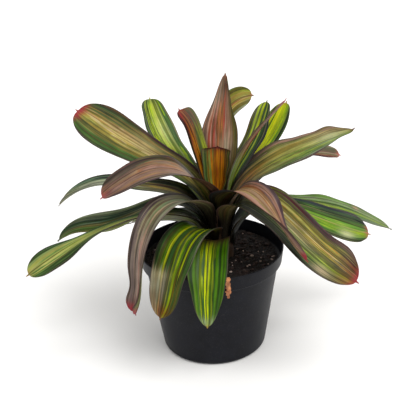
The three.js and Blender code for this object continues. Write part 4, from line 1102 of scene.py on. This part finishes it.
def scrap_path(u):
    """Points (radius, height) at shares u along the scrap, and its outward directions."""
    reach = LIP_RADIUS + SCRAP_LIFT
    lip = (POT_RIM_RADIUS - LIP_RADIUS, POT_HEIGHT - LIP_RADIUS)
    fold = arc_points(reach, *lip, 180, 0, 12)
    start = (lip[0] - reach - 0.8, POT_HEIGHT - SCRAP_INSIDE)
    end = (lip[0] + reach - 0.5, POT_HEIGHT + SCRAP_LIFT - SCRAP_DROP)
    route = np.array([start, *line_points(start, fold[0], 6), *fold,
                      *line_points(fold[-1], end, 16), end])
    lengths = np.concatenate([[0], np.cumsum(np.linalg.norm(np.diff(route, axis=0), axis=1))])
    path = np.stack([np.interp(u * lengths[-1], lengths, route[:, k]) for k in range(2)], -1)
    heading = np.gradient(path, axis=0)
    heading /= np.linalg.norm(heading, axis=1)[:, None]
    outward = np.stack([heading[:, 1], -heading[:, 0]], -1)
    outward[:, 0] = np.where(u > 0.5, np.abs(outward[:, 0]), outward[:, 0])
    return path, outward


def scrap_points():
    """Points of the torn and crinkled strip, its outer face first."""
    rng = random.Random(SCRAP_SEED)
    u = np.linspace(0, 1, SCRAP_ROWS)
    v = np.linspace(-1, 1, SCRAP_COLUMNS)
    path, outward = scrap_path(u)
    torn_left = 1 + TEAR_DEPTH * waves(u, rng, 2, 9, 4)
    torn_right = 1 + TEAR_DEPTH * waves(u, rng, 2, 9, 4)
    torn = np.where(v[None, :] > 0, torn_left[:, None], torn_right[:, None])
    narrowing = np.clip((u - NARROW_FROM) / (1 - NARROW_FROM), 0, 1)
    half = SCRAP_WIDTH / 2 * (1 - (1 - NARROW_SHARE) * narrowing)
    sideways = v[None, :] * torn * half[:, None]
    crinkle = CRINKLE_HEIGHT * (1 + waves(u, rng, 3, 10, 4))[:, None]
    crinkle = crinkle * (0.5 + 0.5 * waves(v, rng, 0.5, 2)[None, :] ** 2)
    layers = []
    for offset in (SCRAP_THICKNESS / 2, -SCRAP_THICKNESS / 2):
        lift = crinkle * smooth((u - CRINKLE_FROM) / CRINKLE_GROWTH)[:, None] + offset
        radial = path[:, :1] + outward[:, :1] * lift
        height = path[:, 1:] + outward[:, 1:] * lift
        layers.append(np.stack([radial, sideways, height], -1).reshape(-1, 3))
    turn = np.array(Matrix.Rotation(math.radians(SCRAP_AZIMUTH), 3, "Z"))
    return np.vstack(layers) @ turn.T


def add_scrap():
    """A dry strip of leaf, folded over the rim."""
    n, m = SCRAP_ROWS, SCRAP_COLUMNS
    above = np.arange(n * m).reshape(n, m)
    below = above + n * m
    faces = sheet_faces(above, below)
    around = [(i, 0) for i in range(n)] + [(n - 1, j) for j in range(1, m)]
    around += [(i, m - 1) for i in range(n - 2, -1, -1)] + [(0, j) for j in range(m - 2, -1, -1)]
    for here, after in zip(around, around[1:]):
        faces.append([int(above[here]), int(below[here]), int(below[after]), int(above[after])])
    material = bit_material("withered_leaf", "7d3f1f", "c98a58", 300, 0.75)
    add_piece("withered_strip", scrap_points(), faces, material,
              "withered_scrap")


add_scrap()

# ------------------------------------------------------------------ room
FLOOR_SIZE = 12           # metres, as is the drop
FLOOR_DROP = 0.0003
WORLD_STRENGTH = 0.85
SUN_STRENGTH = 2.2
SUN_ANGLE = 40            # degrees across the sun's disc, which softens its shadows
SUN_FROM = (0.45, -0.5, 1.0)


def add_floor():
    half = FLOOR_SIZE / 2
    mesh = bpy.data.meshes.new("floor")
    corners = [(-half, -half), (half, -half), (half, half), (-half, half)]
    mesh.from_pydata([(x, y, -FLOOR_DROP) for x, y in corners], [], [(0, 1, 2, 3)])
    finish = Finish("floor")
    finish.set(Base_Color=linear("f4f3f1"), Roughness=0.9, Specular_IOR_Level=0.1)
    mesh.materials.append(finish.material)
    floor = bpy.data.objects.new("floor", mesh)
    bpy.context.scene.collection.objects.link(floor)


def add_sun():
    data = bpy.data.lights.new("sun", "SUN")
    data.energy = SUN_STRENGTH
    data.angle = math.radians(SUN_ANGLE)
    light = bpy.data.objects.new("sun", data)
    light.rotation_euler = Vector(SUN_FROM).to_track_quat("Z", "Y").to_euler()
    bpy.context.scene.collection.objects.link(light)


def add_lighting():
    world = bpy.data.worlds.new("studio")
    world.use_nodes = True
    background = world.node_tree.nodes["Background"]
    background.inputs["Color"].default_value = (1, 1, 1, 1)
    background.inputs["Strength"].default_value = WORLD_STRENGTH
    bpy.context.scene.world = world
    bpy.context.scene.view_settings.view_transform = "Standard"
    add_sun()


add_floor()
add_lighting()
